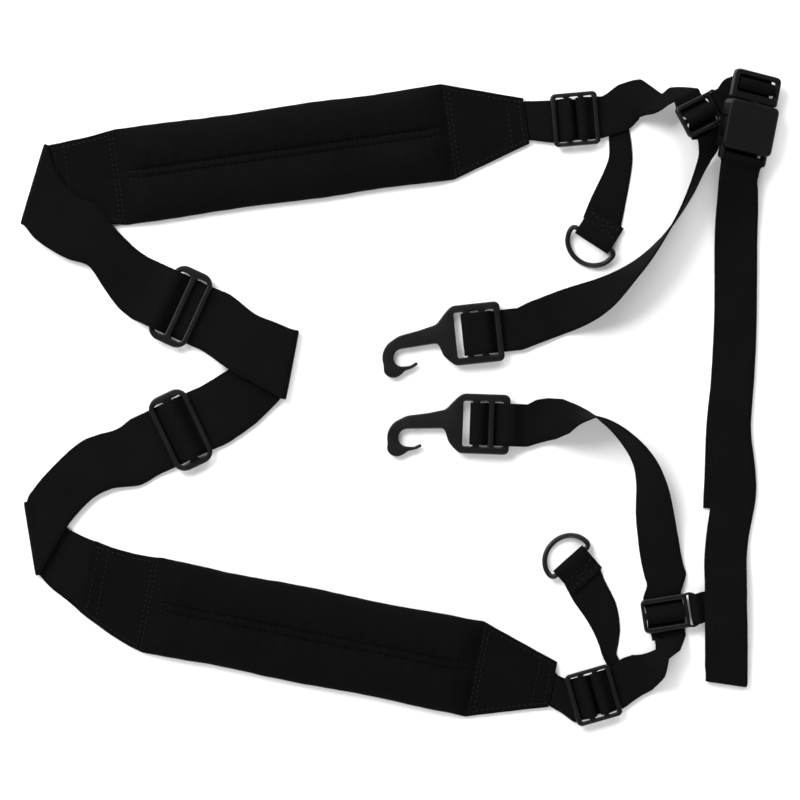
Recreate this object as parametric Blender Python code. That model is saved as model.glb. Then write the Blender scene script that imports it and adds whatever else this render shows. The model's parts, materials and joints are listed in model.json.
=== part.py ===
"""Saxophone harness: two padded shoulder straps, adjustable webbing, a chest strap and two hooks.

It lies on a table as it is put down: +Z up, +X to the wearer's front, +Y to the wearer's left.
Lengths are in metres. Routes of the webbing are lists of millimetres, chosen by hand.
"""

import math

import bmesh
import bpy
from mathutils import Matrix, Vector

MM = 0.001

# Webbing
THICK = 0.0012
LAYER_GAP = 0.0004
WIDE = 0.037
NARROW = 0.025
TAB_WIDTH = 0.018
FIT = 0.0003
STEP = 0.006

# Shoulder pads
PAD_LENGTH = 0.194
PAD_WIDTH = 0.057
PAD_HEIGHT = 0.0115
PAD_END = 0.0026
LINING = 0.0009
COVER_WALL = 0.0014
REAR_TAPER = 0.040
REAR_END_WIDTH = 0.043
FRONT_TAPER = 0.047
FRONT_END_WIDTH = 0.027

# Moulded hardware
BAR_THICK = 0.0026
BAR_EDGE = 0.0005
SLOT_SPARE = 0.0008
TRI_CENTRE_BAR = 0.0036
TRI_SLOT = 0.0072
TRI_OUTER_BAR = 0.0034
TRI_END = 0.0042
LOCK_OUTER_BAR = 0.0030
LOCK_INNER_BAR = 0.0026
LOCK_SLOT = 0.0052
LOCK_MIDDLE_SLOT = 0.0060
LOCK_RAIL = 0.0024
CHEST_WEB = 0.0225
CHEST_BAR = 0.0030
CHEST_SLOT = 0.0056
CHEST_RAIL = 0.0022
SIDE_SLOT = 0.0032
SIDE_BAR = 0.0024

# Hooks
HOOK_THICK = 0.0034
HOOK_HALF_WIDTH = 0.0177
HOOK_REAR_BAR = 0.0037
HOOK_INNER_BAR = 0.0034
HOOK_SLOT = 0.0055
HOOK_SHOULDER = 0.0095
THROAT_RADIUS = 0.0052
THROAT_CENTRE = (-0.0457, -0.0096)
BILL_WIDTH = 0.0066
ARM_ROOT = 0.0078
LIP_REACH = 0.0078
LIP_HALF = 0.0010
HOOK_PIVOT = 0.024
HOOK_GAP = 0.0008
HOOK_TILT = 2.3

# D-rings
RING_ROD = 0.0015
RING_DEPTH = 0.0155
RING_CORNER = 0.0025
RING_SPARE = 0.0006

# Side-release buckle
BUCKLE_WIDTH = 0.033
BUCKLE_THICK = 0.010
BUCKLE_PLATE = 0.0040
SOCKET_LENGTH = 0.029
SOCKET_MOUTH = 0.007
SOCKET_WALL = 0.0018
RIM_WALL = 0.0025
WINDOW = (-0.016, -0.003)
PLUG_FLANGE = 0.0046
BUCKLE_SLOT = 0.0034
BUCKLE_BAR = 0.0030
TONGUE_WIDTH = 0.006
ARM_WIDTH = 0.0032
ARM_HEIGHT = 0.0056
BUCKLE_ROLL = 25.0

LAYER = THICK + LAYER_GAP
LAYER_AS_DRAWN = 1.6  # layer, in millimetres, that the heights over the sliders are drawn for
DECK = 2 * LAYER - LAYER_GAP + FIT
DECK_MID = DECK + BAR_THICK / 2
UNDER_BAR = -(BAR_THICK / 2 + FIT + THICK / 2)
WRAP_SPARE = 0.0002 + THICK / 2 + FIT


def level(number):
    """Height of the middle of a layer of webbing, counted from the table."""
    return THICK / 2 + number * LAYER


def place(x, y, z, heading, roll=0.0, tilt=0.0):
    """A local frame: x along the heading, y to its left; roll lifts the left side, tilt lowers the nose."""
    turn = Matrix.Rotation(math.radians(heading), 4, "Z")
    turn @= Matrix.Rotation(math.radians(tilt), 4, "Y")
    turn @= Matrix.Rotation(math.radians(roll), 4, "X")
    return Matrix.Translation((x, y, z)) @ turn


# Where the pieces lie
LEFT_PAD = place(-0.1643, 0.1302, 0.0, 7.9)
RIGHT_PAD = place(-0.1463, -0.1221, 0.0, -11.2)
LEFT_SWEEP = 0.003
RIGHT_SWEEP = 0.009


def pad_front(pad):
    """Middle of a pad's front end, on the table."""
    return pad @ Vector((PAD_LENGTH + FRONT_TAPER, 0.0, 0.0))


LOCK_STANDOFF = 0.0288
LEFT_FRONT = pad_front(LEFT_PAD)
RIGHT_FRONT = pad_front(RIGHT_PAD)
LEFT_LOCK = place(LEFT_FRONT.x + LOCK_STANDOFF, LEFT_FRONT.y + 0.0008, DECK_MID, 5.0)
RIGHT_LOCK = place(RIGHT_FRONT.x + 0.0238, RIGHT_FRONT.y - 0.0061, DECK_MID, 16.0)


def near_left(x, y):
    """A point of the left front, kept at its distance from the left pad's front end."""
    return (LEFT_FRONT.x + (x - 74.7) * MM, LEFT_FRONT.y + (y - 162.8) * MM)


def near_right(x, y):
    """A point of the right front, kept at its distance from the right pad's front end."""
    return (RIGHT_FRONT.x + (x - 90.4) * MM, RIGHT_FRONT.y + (y + 169.4) * MM)


def near_chest(x, y):
    """A point of the chest strap: its top follows the left front and its bottom the right front."""
    share = min(max((117.0 - y) / 234.0, 0.0), 1.0)
    return tuple(Vector(near_left(x, y)).lerp(Vector(near_right(x, y)), share))


def at_rear(x, y):
    """A point of the rear webbing."""
    return ((x - 0.3) * MM, (y + 0.5) * MM)


LEFT_SLIDER = place(-0.1291, 0.0537, DECK_MID, -24.7)
RIGHT_SLIDER = place(-0.1291, -0.0189, DECK_MID, 25.2)
CHEST_SLIDER_ROLL = -30.0
CHEST_HALF = CHEST_WEB / 2 + FIT + CHEST_RAIL
SIDE_REACH = CHEST_HALF + SIDE_SLOT + SIDE_BAR
SIDE_MIDDLE = SIDE_REACH - SIDE_BAR / 2
LEFT_CHEST = place(*near_left(175.5, 165.0), SIDE_REACH * 0.5 + 0.0035, -62.0, CHEST_SLIDER_ROLL)
RIGHT_CHEST = place(*near_right(156.5, -127.5), DECK_MID, 99.0)
HOOK_RISE = DECK + HOOK_THICK / 2 - 0.0006
LEFT_HOOK = place(*near_left(46.0, 37.5), HOOK_RISE, 6.0, 0.0, -HOOK_TILT)
RIGHT_HOOK = place(*near_right(50.4, -15.9), HOOK_RISE, -2.0, 0.0, -HOOK_TILT)
RING_HEIGHT = RING_ROD + FIT + 1.5 * THICK + 0.0001
RING_TILT = math.degrees(math.asin((RING_HEIGHT - RING_ROD) / RING_DEPTH))
LEFT_RING = place(*near_left(114.5, 93.0), RING_HEIGHT, -123.0)
RIGHT_RING = place(*near_right(101.0, -97.0), RING_HEIGHT, 131.6)
BUCKLE = place(*near_left(205.5, 165.2), 0.0132, 79.0, BUCKLE_ROLL)


# ---------------------------------------------------------------- materials
def material(name, colour, roughness, metallic=0.0):
    made = bpy.data.materials.new(name)
    made.use_nodes = True
    shader = made.node_tree.nodes["Principled BSDF"]
    shader.inputs["Base Color"].default_value = (*colour, 1.0)
    shader.inputs["Roughness"].default_value = roughness
    shader.inputs["Metallic"].default_value = metallic
    return made


def make_materials():
    return {
        "webbing": material("black_webbing", (0.012, 0.012, 0.013), 0.85),
        "cover": material("black_cover_cloth", (0.016, 0.016, 0.017), 0.9),
        "foam": material("grey_foam", (0.08, 0.08, 0.085), 0.95),
        "lining": material("black_lining", (0.013, 0.013, 0.014), 0.9),
        "moulded": material("black_acetal", (0.022, 0.022, 0.024), 0.35),
        "metal": material("black_coated_wire", (0.03, 0.03, 0.032), 0.4, 0.6),
    }


# ---------------------------------------------------------------- meshes
def add_object(name, data, finish, origin=None):
    made = bpy.data.objects.new(name, data)
    bpy.context.scene.collection.objects.link(made)
    made.data.materials.append(finish)
    if origin is not None:
        made.matrix_world = origin
    return made


def loft(name, sections, finish, closed=False):
    """A solid through a row of sections with the same number of points."""
    shell = bmesh.new()
    rings = [[shell.verts.new(point) for point in section] for section in sections]
    count = len(rings[0])
    for first, second in zip(rings, rings[1:]):
        for corner in range(count):
            after = (corner + 1) % count
            shell.faces.new((first[corner], first[after], second[after], second[corner]))
    if not closed:
        shell.faces.new(reversed(rings[0]))
        shell.faces.new(rings[-1])
    bmesh.ops.recalc_face_normals(shell, faces=shell.faces)
    mesh = bpy.data.meshes.new(name)
    shell.to_mesh(mesh)
    shell.free()
    return add_object(name, mesh, finish)


def plate(name, outline, holes, thickness, finish, frame, edge=BAR_EDGE):
    """A flat moulded plate with holes and rounded edges, centred on its frame's middle plane."""
    curve = bpy.data.curves.new(name, "CURVE")
    curve.dimensions = "2D"
    curve.fill_mode = "BOTH"
    curve.extrude = thickness / 2 - edge
    curve.bevel_depth = edge
    curve.bevel_resolution = 1
    curve.offset = -edge
    for line in [outline, *holes]:
        spline = curve.splines.new("POLY")
        spline.points.add(len(line) - 1)
        for point, (x, y) in zip(spline.points, line):
            point.co = (x, y, 0.0, 1.0)
        spline.use_cyclic_u = True
    return add_object(name, curve, finish, frame)


def wire(name, line, radius, finish, frame):
    """A closed ring of round rod."""
    curve = bpy.data.curves.new(name, "CURVE")
    curve.dimensions = "3D"
    curve.bevel_depth = radius
    curve.bevel_resolution = 2
    spline = curve.splines.new("POLY")
    spline.points.add(len(line) - 1)
    for point, place_on_line in zip(spline.points, line):
        point.co = (*place_on_line, 1.0)
    spline.use_cyclic_u = True
    return add_object(name, curve, finish, frame)


def arc(x, y, radius, start, end, steps):
    """Points of an arc, its ends included; angles in degrees."""
    angles = [math.radians(start + (end - start) * i / steps) for i in range(steps + 1)]
    return [(x + radius * math.cos(a), y + radius * math.sin(a)) for a in angles]


def rounded(x0, x1, y0, y1, radius, steps=3):
    """A rectangle with round corners, counter-clockwise."""
    corners = [(x1, y1, 0), (x0, y1, 90), (x0, y0, 180), (x1, y0, 270)]
    line = []
    for x, y, start in corners:
        inward_x = x - radius if x == x1 else x + radius
        inward_y = y - radius if y == y1 else y + radius
        line += arc(inward_x, inward_y, radius, start, start + 90, steps)
    return line


def box(name, x, y, z, frame):
    """A hidden block that cuts another piece."""
    shell = bmesh.new()
    bmesh.ops.create_cube(shell, size=1.0)
    mesh = bpy.data.meshes.new(name)
    shell.to_mesh(mesh)
    shell.free()
    size = Matrix.Diagonal((x[1] - x[0], y[1] - y[0], z[1] - z[0], 1.0))
    middle = Matrix.Translation(((x[0] + x[1]) / 2, (y[0] + y[1]) / 2, (z[0] + z[1]) / 2))
    mesh.transform(middle @ size)
    made = bpy.data.objects.new(name, mesh)
    bpy.context.scene.collection.objects.link(made)
    made.matrix_world = frame
    made.hide_render = True
    made.display_type = "WIRE"
    return made


def cut(target, cutter, operation="DIFFERENCE"):
    change = target.modifiers.new(cutter.name, "BOOLEAN")
    change.operation = operation
    change.object = cutter
    change.solver = "EXACT"


# ---------------------------------------------------------------- webbing
def smooth(points, step):
    """Points along a smooth curve through the given ones, about one step apart in the plan."""
    ends = [points[0], *points, points[-1]]
    dense = []
    for before, start, end, after in zip(ends, ends[1:], ends[2:], ends[3:]):
        count = max(1, round(math.dist(start[:3], end[:3]) / step))
        for i in range(count):
            t = i / count
            dense.append(tuple(
                0.5 * (2 * b + (c - a) * t + (2 * a - 5 * b + 4 * c - d) * t**2 + (3 * b - a - 3 * c + d) * t**3)
                for a, b, c, d in zip(before, start, end, after)
            ))
    return [*dense, tuple(points[-1])]


def lay(points, step=STEP):
    """Stations of webbing along (x, y, lift, roll, width) points.

    A station is the middle of the webbing and half its width as a vector to its right edge.
    Lift is the height of the lowest edge, and roll raises the right edge.
    """
    dense = smooth(points, step)
    stations = []
    for i, (x, y, lift, roll, width) in enumerate(dense):
        before, after = dense[max(i - 1, 0)], dense[min(i + 1, len(dense) - 1)]
        along = Vector((after[0] - before[0], after[1] - before[1], 0.0)).normalized()
        right = Vector((along.y, -along.x, 0.0))
        angle = math.radians(roll)
        across = (right * math.cos(angle) + Vector((0, 0, math.sin(angle)))) * width / 2
        height = lift + abs(math.sin(angle)) * width / 2 + abs(math.cos(angle)) * THICK / 2
        stations.append((Vector((x, y, height)), across))
    return stations


def edges(anchor, rows):
    """Stations from the two edges of the webbing: rows of (x, y, x, y, middle height)."""
    stations = []
    for x0, y0, x1, y1, height in rows:
        first, second = Vector((*anchor(x0, y0), height * MM)), Vector((*anchor(x1, y1), height * MM))
        stations.append(((first + second) / 2, (second - first) / 2))
    return stations


def crease(anchor, row, end, side, steps=6, inset=0.0):
    """Stations of a flat fold over the line between two edge points, from one height to another.

    Side 1 puts the fold's bulge to the left of the way from the first edge to the second, and the
    inset keeps an inner layer that far inside the line.
    """
    (centre, across), = edges(anchor, [row])
    along = Vector((-across.y, across.x, 0.0)).normalized() * side
    radius = abs(end * MM - centre.z) / 2
    rise = 1.0 if end * MM > centre.z else -1.0
    inner = centre - along * (radius + inset)
    stations = []
    for i in range(steps + 1):
        turn = math.pi * i / steps
        up = Vector((0.0, 0.0, rise * radius * (1 - math.cos(turn))))
        stations.append((inner + along * radius * math.sin(turn) + up, across))
    return stations


def route(anchor, points):
    """Webbing through rows of (x, y, lift, roll, width) in millimetres and degrees."""
    return lay([(*anchor(x, y), lift * MM, roll, width * MM) for x, y, lift, roll, width in points])


def in_frame(frame, profile, width, right=-1):
    """Stations along an (x, z) profile of a local frame; right is the side of the right edge."""
    turn = frame.to_3x3()
    across = turn @ Vector((0.0, right * width / 2, 0.0))
    return [(frame @ Vector((x, 0.0, z)), across) for x, z in profile]


def mm(*points):
    """An (x, z) profile written in millimetres."""
    return [(x * MM, z * MM) for x, z in points]


def mirrored(profile):
    return [(-x, z) for x, z in reversed(profile)]


def wrap(x, half_bar, half_thick, start, end, steps=9):
    """An (x, z) profile round a bar, from one angle to another, in degrees."""
    reach_x = half_bar + WRAP_SPARE + 0.0004
    reach_z = half_thick + WRAP_SPARE + 0.0002
    angles = [math.radians(start + (end - start) * i / steps) for i in range(steps + 1)]
    return [(x + reach_x * math.cos(a), reach_z * math.sin(a)) for a in angles]


def trimmed(stations):
    """The same run, a little shorter at each end, so that neighbours stay apart."""
    run = list(stations)
    for end, inner in ((0, 1), (-1, -2)):
        (tip, across), (near, _) = run[end], run[inner]
        run[end] = (tip + (near - tip).normalized() * FIT / 2, across)
    return run


def webbing(name, stations, finish):
    """A closed strip of webbing through its stations."""
    run = trimmed(stations)
    sections = []
    for i, (centre, across) in enumerate(run):
        before = run[max(i - 1, 0)][0]
        after = run[min(i + 1, len(run) - 1)][0]
        normal = across.cross(after - before).normalized() * THICK / 2
        sections.append((centre - across - normal, centre + across - normal,
                         centre + across + normal, centre - across + normal))
    return loft(name, sections, finish)


# ---------------------------------------------------------------- pads
def pad_station(x, sweep):
    """Half width and sideways offset of a pad at a distance from its rear seam."""
    half = PAD_WIDTH / 2
    if x < 0:
        share = -x / REAR_TAPER
        return half + (REAR_END_WIDTH / 2 - half) * share, sweep * share**1.6
    if x > PAD_LENGTH:
        share = (x - PAD_LENGTH) / FRONT_TAPER
        return half + (FRONT_END_WIDTH / 2 - half) * share, 0.0
    return half, 0.0


def pad_stations():
    edge = 0.004
    shoulder = 0.010
    middle = [shoulder + (PAD_LENGTH - 2 * shoulder) * i / 6 for i in range(7)]
    ends = [-REAR_TAPER, -REAR_TAPER * 2 / 3, -REAR_TAPER / 3]
    return [*ends, 0.0, edge, *middle, PAD_LENGTH - edge, PAD_LENGTH, PAD_LENGTH + FRONT_TAPER]


def pad_height(x):
    """Height of the cover's crown: low at the seams, full between them."""
    reach = 0.010
    inside = min(x, PAD_LENGTH - x)
    if inside <= 0:
        return PAD_END
    share = min(inside / reach, 1.0)
    return PAD_END + (PAD_HEIGHT - PAD_END) * math.sin(share * math.pi / 2) ** 0.8


def pad_cover(name, frame, sweep, finish):
    """A crowned cover, open below for the foam, with flat ends."""
    foot = LINING + FIT
    sections = []
    for x in pad_stations():
        half, offset = pad_station(x, sweep)
        top = pad_height(x)
        roof = max(top - COVER_WALL, foot) if 0 < x < PAD_LENGTH else foot
        rise, hollow = top - foot, roof - foot
        outer = [(-1.0, 0.0, 0.0), (-1.0, 0.0, 0.35), (-1.0, 0.003, 0.72), (-1.0, 0.010, 0.96), (0.0, 0.0, 1.0)]
        inner = [(1.0, -0.0022, 0.0), (1.0, -0.0045, 0.72), (1.0, -0.011, 1.0)]
        line = [(side * half + inset, foot + rise * up) for side, inset, up in outer]
        line += [(half - inset, foot + rise * up) for side, inset, up in reversed(outer[:-1])]
        line += [(half + inset, foot + hollow * up) for side, inset, up in inner]
        line += [(-half - inset, foot + hollow * up) for side, inset, up in reversed(inner)]
        sections.append([frame @ Vector((x, y + offset, z)) for y, z in line])
    return loft(name, sections, finish)


def pad_foam(name, frame, finish):
    """The foam core between the seams, just inside the cover."""
    foot = LINING + 2 * FIT
    margin = 0.0060
    sections = []
    count = 8
    for i in range(count + 1):
        x = margin + (PAD_LENGTH - 2 * margin) * i / count
        top = pad_height(x) - COVER_WALL - 4 * FIT
        half = PAD_WIDTH / 2 - 0.0052
        line = [(-half, foot), (half, foot), (half, foot + (top - foot) * 0.5), (half - 0.011, top),
                (-half + 0.011, top), (-half, foot + (top - foot) * 0.5)]
        sections.append([frame @ Vector((x, y, z)) for y, z in line])
    return loft(name, sections, finish)


def pad_lining(name, frame, sweep, finish):
    """The flat backing that lies on the shoulder."""
    inset = 0.0010
    sections = []
    for x in pad_stations():
        half, offset = pad_station(x, sweep)
        half -= inset
        line = [(-half, 0.0), (half, 0.0), (half, LINING), (-half, LINING)]
        sections.append([frame @ Vector((x, y + offset, z)) for y, z in line])
    return loft(name, sections, finish)


# ---------------------------------------------------------------- sliders
def tri_glide(name, frame, finish):
    """A rear slider: two slots for wide webbing and round ends."""
    reach = TRI_CENTRE_BAR / 2 + TRI_SLOT + TRI_OUTER_BAR
    slot_half = WIDE / 2 + SLOT_SPARE
    end = slot_half + TRI_END
    corner = 0.0075
    outline = rounded(-reach, reach, -end, end, corner, 4)
    holes = []
    for side in (-1, 1):
        near, far = TRI_CENTRE_BAR / 2, TRI_CENTRE_BAR / 2 + TRI_SLOT
        low, high = sorted((side * near, side * far))
        holes.append(rounded(low, high, -slot_half, slot_half, 0.0022))
    return plate(name, outline, holes, BAR_THICK, finish, frame)


def lock_bars():
    """Edges of the four bars of a ladder lock, along its length."""
    widths = [LOCK_OUTER_BAR, LOCK_SLOT, LOCK_INNER_BAR, LOCK_MIDDLE_SLOT,
              LOCK_INNER_BAR, LOCK_SLOT, LOCK_OUTER_BAR]
    edges = [-sum(widths) / 2]
    for width in widths:
        edges.append(edges[-1] + width)
    return edges


def ladder_lock(name, frame, finish):
    """A four-bar adjuster: the pad's tab on one inner bar, the front webbing on the other."""
    edges = lock_bars()
    slot_half = NARROW / 2 + SLOT_SPARE
    end = slot_half + LOCK_RAIL
    outline = rounded(edges[0], edges[-1], -end, end, 0.0030)
    holes = [rounded(edges[i], edges[i + 1], -slot_half, slot_half, 0.0012, 2) for i in (1, 3, 5)]
    return plate(name, outline, holes, BAR_THICK, finish, frame)


def chest_reach():
    return 1.5 * CHEST_BAR + CHEST_SLOT


def chest_slider(name, frame, side, finish):
    """A three-bar slider on the front webbing with a side loop for the chest tab."""
    reach = chest_reach()
    slot_half = CHEST_WEB / 2 + FIT
    corner = 0.0030
    low, high = sorted((-side * CHEST_HALF, side * SIDE_REACH))
    outline = rounded(-reach, reach, low, high, corner)
    near, far = CHEST_BAR / 2, CHEST_BAR / 2 + CHEST_SLOT
    holes = [rounded(-far, -near, -slot_half, slot_half, 0.0012, 2),
             rounded(near, far, -slot_half, slot_half, 0.0012, 2)]
    loop_low, loop_high = sorted((side * CHEST_HALF, side * (CHEST_HALF + SIDE_SLOT)))
    loop_half = TAB_WIDTH / 2 + 0.0004
    holes.append(rounded(-loop_half, loop_half, loop_low, loop_high, 0.0012, 2))
    return as_mesh(plate(name, outline, holes, BAR_THICK, finish, frame), name)


# ---------------------------------------------------------------- hooks and rings
def hook_edges():
    """Edges along a hook's frame: rear bar, slot, bar, slot, bar, front slot."""
    edges = [0.0145]
    for width in (HOOK_REAR_BAR, HOOK_SLOT, HOOK_INNER_BAR, HOOK_SLOT, HOOK_INNER_BAR, HOOK_SLOT + 0.0006):
        edges.append(edges[-1] - width)
    return edges


def hook_outline():
    """A hook with its frame: broad shoulders, a deep shank, and a bill that thins to its lip."""
    edges = hook_edges()
    rear, front = edges[0], edges[-1] - 0.0010
    half = HOOK_HALF_WIDTH
    neck = front - HOOK_SHOULDER
    cx, cy = THROAT_CENTRE
    top, outer, inner = cy + THROAT_RADIUS, THROAT_RADIUS + BILL_WIDTH, THROAT_RADIUS
    line = [(rear, -half + 0.002), (rear, half - 0.002), (rear - 0.002, half)]
    line += [(front + 0.0010, half), (front - 0.0022, half - 0.0020), (front - 0.0058, half - 0.0058)]
    line += [(neck, ARM_ROOT), (neck - 0.0100, ARM_ROOT - 0.0024), (cx - 0.0005, cy + outer + 0.0012)]
    line += arc(cx, cy, outer, 112, 196, 6)
    line += arc(cx - outer + 0.0060, cy - 0.0052, 0.0062, 200, 290, 4)
    line += [(cx - 0.0010, cy - inner - 0.0042), (cx + 0.0008, cy - inner - 0.0026)]
    line += [(cx + 0.0050, cy - inner - 0.0018)]
    line += arc(cx + LIP_REACH, cy - inner + 0.0008, LIP_HALF, -70, 110, 4)
    line += [(cx + 0.0042, cy - inner - 0.0001)]
    line += arc(cx, cy, inner, 275, 92, 9)
    line += [(neck - 0.0100, top + 0.0006), (neck - 0.0012, top + 0.0010), (neck + 0.0003, top - 0.0004)]
    line += [(neck + 0.0022, top - 0.0066), (front - 0.0042, -half + 0.0032), (front - 0.0005, -half)]
    line += [(rear - 0.002, -half)]
    return line


def hook(name, frame, finish):
    """A hook moulded in one with its three-slot frame."""
    edges = hook_edges()
    slot_half = NARROW / 2 + SLOT_SPARE
    holes = [rounded(edges[i + 1], edges[i], -slot_half, slot_half, 0.0012, 2) for i in (1, 3, 5)]
    return plate(name, hook_outline(), holes, HOOK_THICK, finish, frame, 0.0007)


def ring_half():
    return NARROW / 2 + RING_SPARE + RING_ROD


def d_ring(name, frame, finish):
    """A D of round rod: its straight bar lies in the loop of the pull tail."""
    half = ring_half()
    bend = RING_CORNER
    line = [(0.0, y * (half - bend) / 4) for y in range(-4, 5)]
    line += [(x, y) for x, y in arc(bend, half - bend, bend, 180, 90, 3)[1:]]
    bow = [math.radians(90 - 180 * i / 14) for i in range(15)]
    line += [(bend + (RING_DEPTH - bend) * math.cos(a), half * math.sin(a)) for a in bow][1:]
    line += [(x, y) for x, y in arc(bend, -half + bend, bend, 270, 180, 3)[1:-1]]
    tilt = Matrix.Rotation(math.radians(RING_TILT), 4, "Y")
    return wire(name, [(x, y, 0.0) for x, y in line], RING_ROD, finish, frame @ tilt)


# ---------------------------------------------------------------- buckle
def socket_end():
    return SOCKET_MOUTH - SOCKET_LENGTH


def buckle_socket(name, frame, finish):
    """The female half: a flat shell with side windows, and a bar for the chest strap."""
    half = BUCKLE_WIDTH / 2
    back = socket_end()
    slot_half = NARROW / 2 + SLOT_SPARE
    inner = half - RIM_WALL
    height = BUCKLE_THICK / 2 - SOCKET_WALL
    shell = rounded(back, SOCKET_MOUTH, -half, half, 0.0030)
    body = as_mesh(plate(name, shell, [], BUCKLE_THICK, finish, frame, 0.0012), name)
    bars = rounded(back - BUCKLE_SLOT - BUCKLE_BAR, back + 0.002, -half + 0.0008, half - 0.0008, 0.0018)
    tail = as_mesh(plate(name + "_bars", bars, [], BUCKLE_PLATE, finish, frame, 0.0008), name + "_tail")
    hide(tail)
    cut(body, tail, "UNION")
    cutters = [
        ("slot", (back - BUCKLE_SLOT, back), (-slot_half, slot_half), (-BUCKLE_THICK, BUCKLE_THICK)),
        ("hollow", (back + 0.0026, SOCKET_MOUTH + 0.002), (-inner, inner), (-height, height)),
        ("windows", WINDOW, (-BUCKLE_WIDTH, BUCKLE_WIDTH), (-height, height)),
    ]
    for part, x, y, z in cutters:
        cut(body, box(f"{name}_{part}", x, y, z, frame))
    return body


def arm_root():
    """Where a sprung arm starts on the plug, along the buckle."""
    return SOCKET_MOUTH + 0.0006


def plug_edges():
    """Edges of the plug's flange, slots and bars, along the buckle."""
    edges_found = [SOCKET_MOUTH + 0.0006]
    for width in (PLUG_FLANGE, BUCKLE_SLOT, BUCKLE_BAR, BUCKLE_SLOT, BUCKLE_BAR):
        edges_found.append(edges_found[-1] + width)
    return edges_found


def buckle_plug(name, frame, finish):
    """The male half: flange, two slots with the tab's bar between them, and a guide tongue."""
    marks = plug_edges()
    half = BUCKLE_WIDTH / 2 - 0.0008
    slot_half = NARROW / 2 + SLOT_SPARE
    tongue = TONGUE_WIDTH / 2
    tip = socket_end() + 0.0036
    outline = [(marks[-1] - 0.003, half), (marks[0] + 0.001, half), (marks[0], half - 0.001)]
    outline += [(marks[0], tongue), (tip + 0.001, tongue), (tip, tongue - 0.001)]
    outline += [(x, -y) for x, y in reversed(outline)]
    outline += arc(marks[-1] - 0.003, -half + 0.003, 0.003, 270, 360, 3)[1:]
    outline += arc(marks[-1] - 0.003, half - 0.003, 0.003, 0, 90, 3)[:-1]
    holes = [rounded(marks[i], marks[i + 1], -slot_half, slot_half, 0.0012, 2) for i in (1, 3)]
    return plate(name, outline, holes, BUCKLE_PLATE, finish, frame, 0.0008)


def buckle_arm(name, frame, side, finish):
    """A sprung arm with its barbed head in the socket's side window."""
    root = arm_root() - FIT
    inner = BUCKLE_WIDTH / 2 - RIM_WALL - FIT
    outer = BUCKLE_WIDTH / 2 - 0.0004
    head_end, head_start = WINDOW[1] - FIT, WINDOW[0] + FIT
    tip = head_start - 0.0024
    line = [(root, inner - ARM_WIDTH), (root, inner), (head_end, inner), (head_end, outer - 0.0006),
            (head_end - 0.0006, outer), (head_end - 0.006, outer), (head_start, inner),
            (tip, inner - 0.002), (tip, inner - 0.0042), (head_start + 0.001, inner - ARM_WIDTH - 0.0012),
            (head_end - 0.002, inner - ARM_WIDTH)]
    line = [(x, side * y) for x, y in line]
    made = plate(name, line, [], ARM_HEIGHT, finish, frame, 0.0006)
    return made


def hide(made):
    made.hide_render = True
    made.display_type = "WIRE"


def as_mesh(source, name):
    """The solid of a curve as a mesh of its own, for Booleans."""
    bpy.context.view_layer.update()
    graph = bpy.context.evaluated_depsgraph_get()
    mesh = bpy.data.meshes.new_from_object(source.evaluated_get(graph))
    where = source.matrix_world.copy()
    bpy.data.objects.remove(source)
    welded = bmesh.new()
    welded.from_mesh(mesh)
    bmesh.ops.remove_doubles(welded, verts=welded.verts, dist=0.000001)
    bmesh.ops.recalc_face_normals(welded, faces=welded.faces)
    welded.to_mesh(mesh)
    welded.free()
    made = bpy.data.objects.new(name, mesh)
    bpy.context.scene.collection.objects.link(made)
    made.matrix_world = where
    return made


# ---------------------------------------------------------------- webbing routes


def on_slider(*points):
    """Millimetres along a slider and above the table in its own frame; heights grow with the webbing."""
    return [(x * MM, z * LAYER / LAYER_AS_DRAWN - DECK_MID) for x, z in points]


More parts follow.
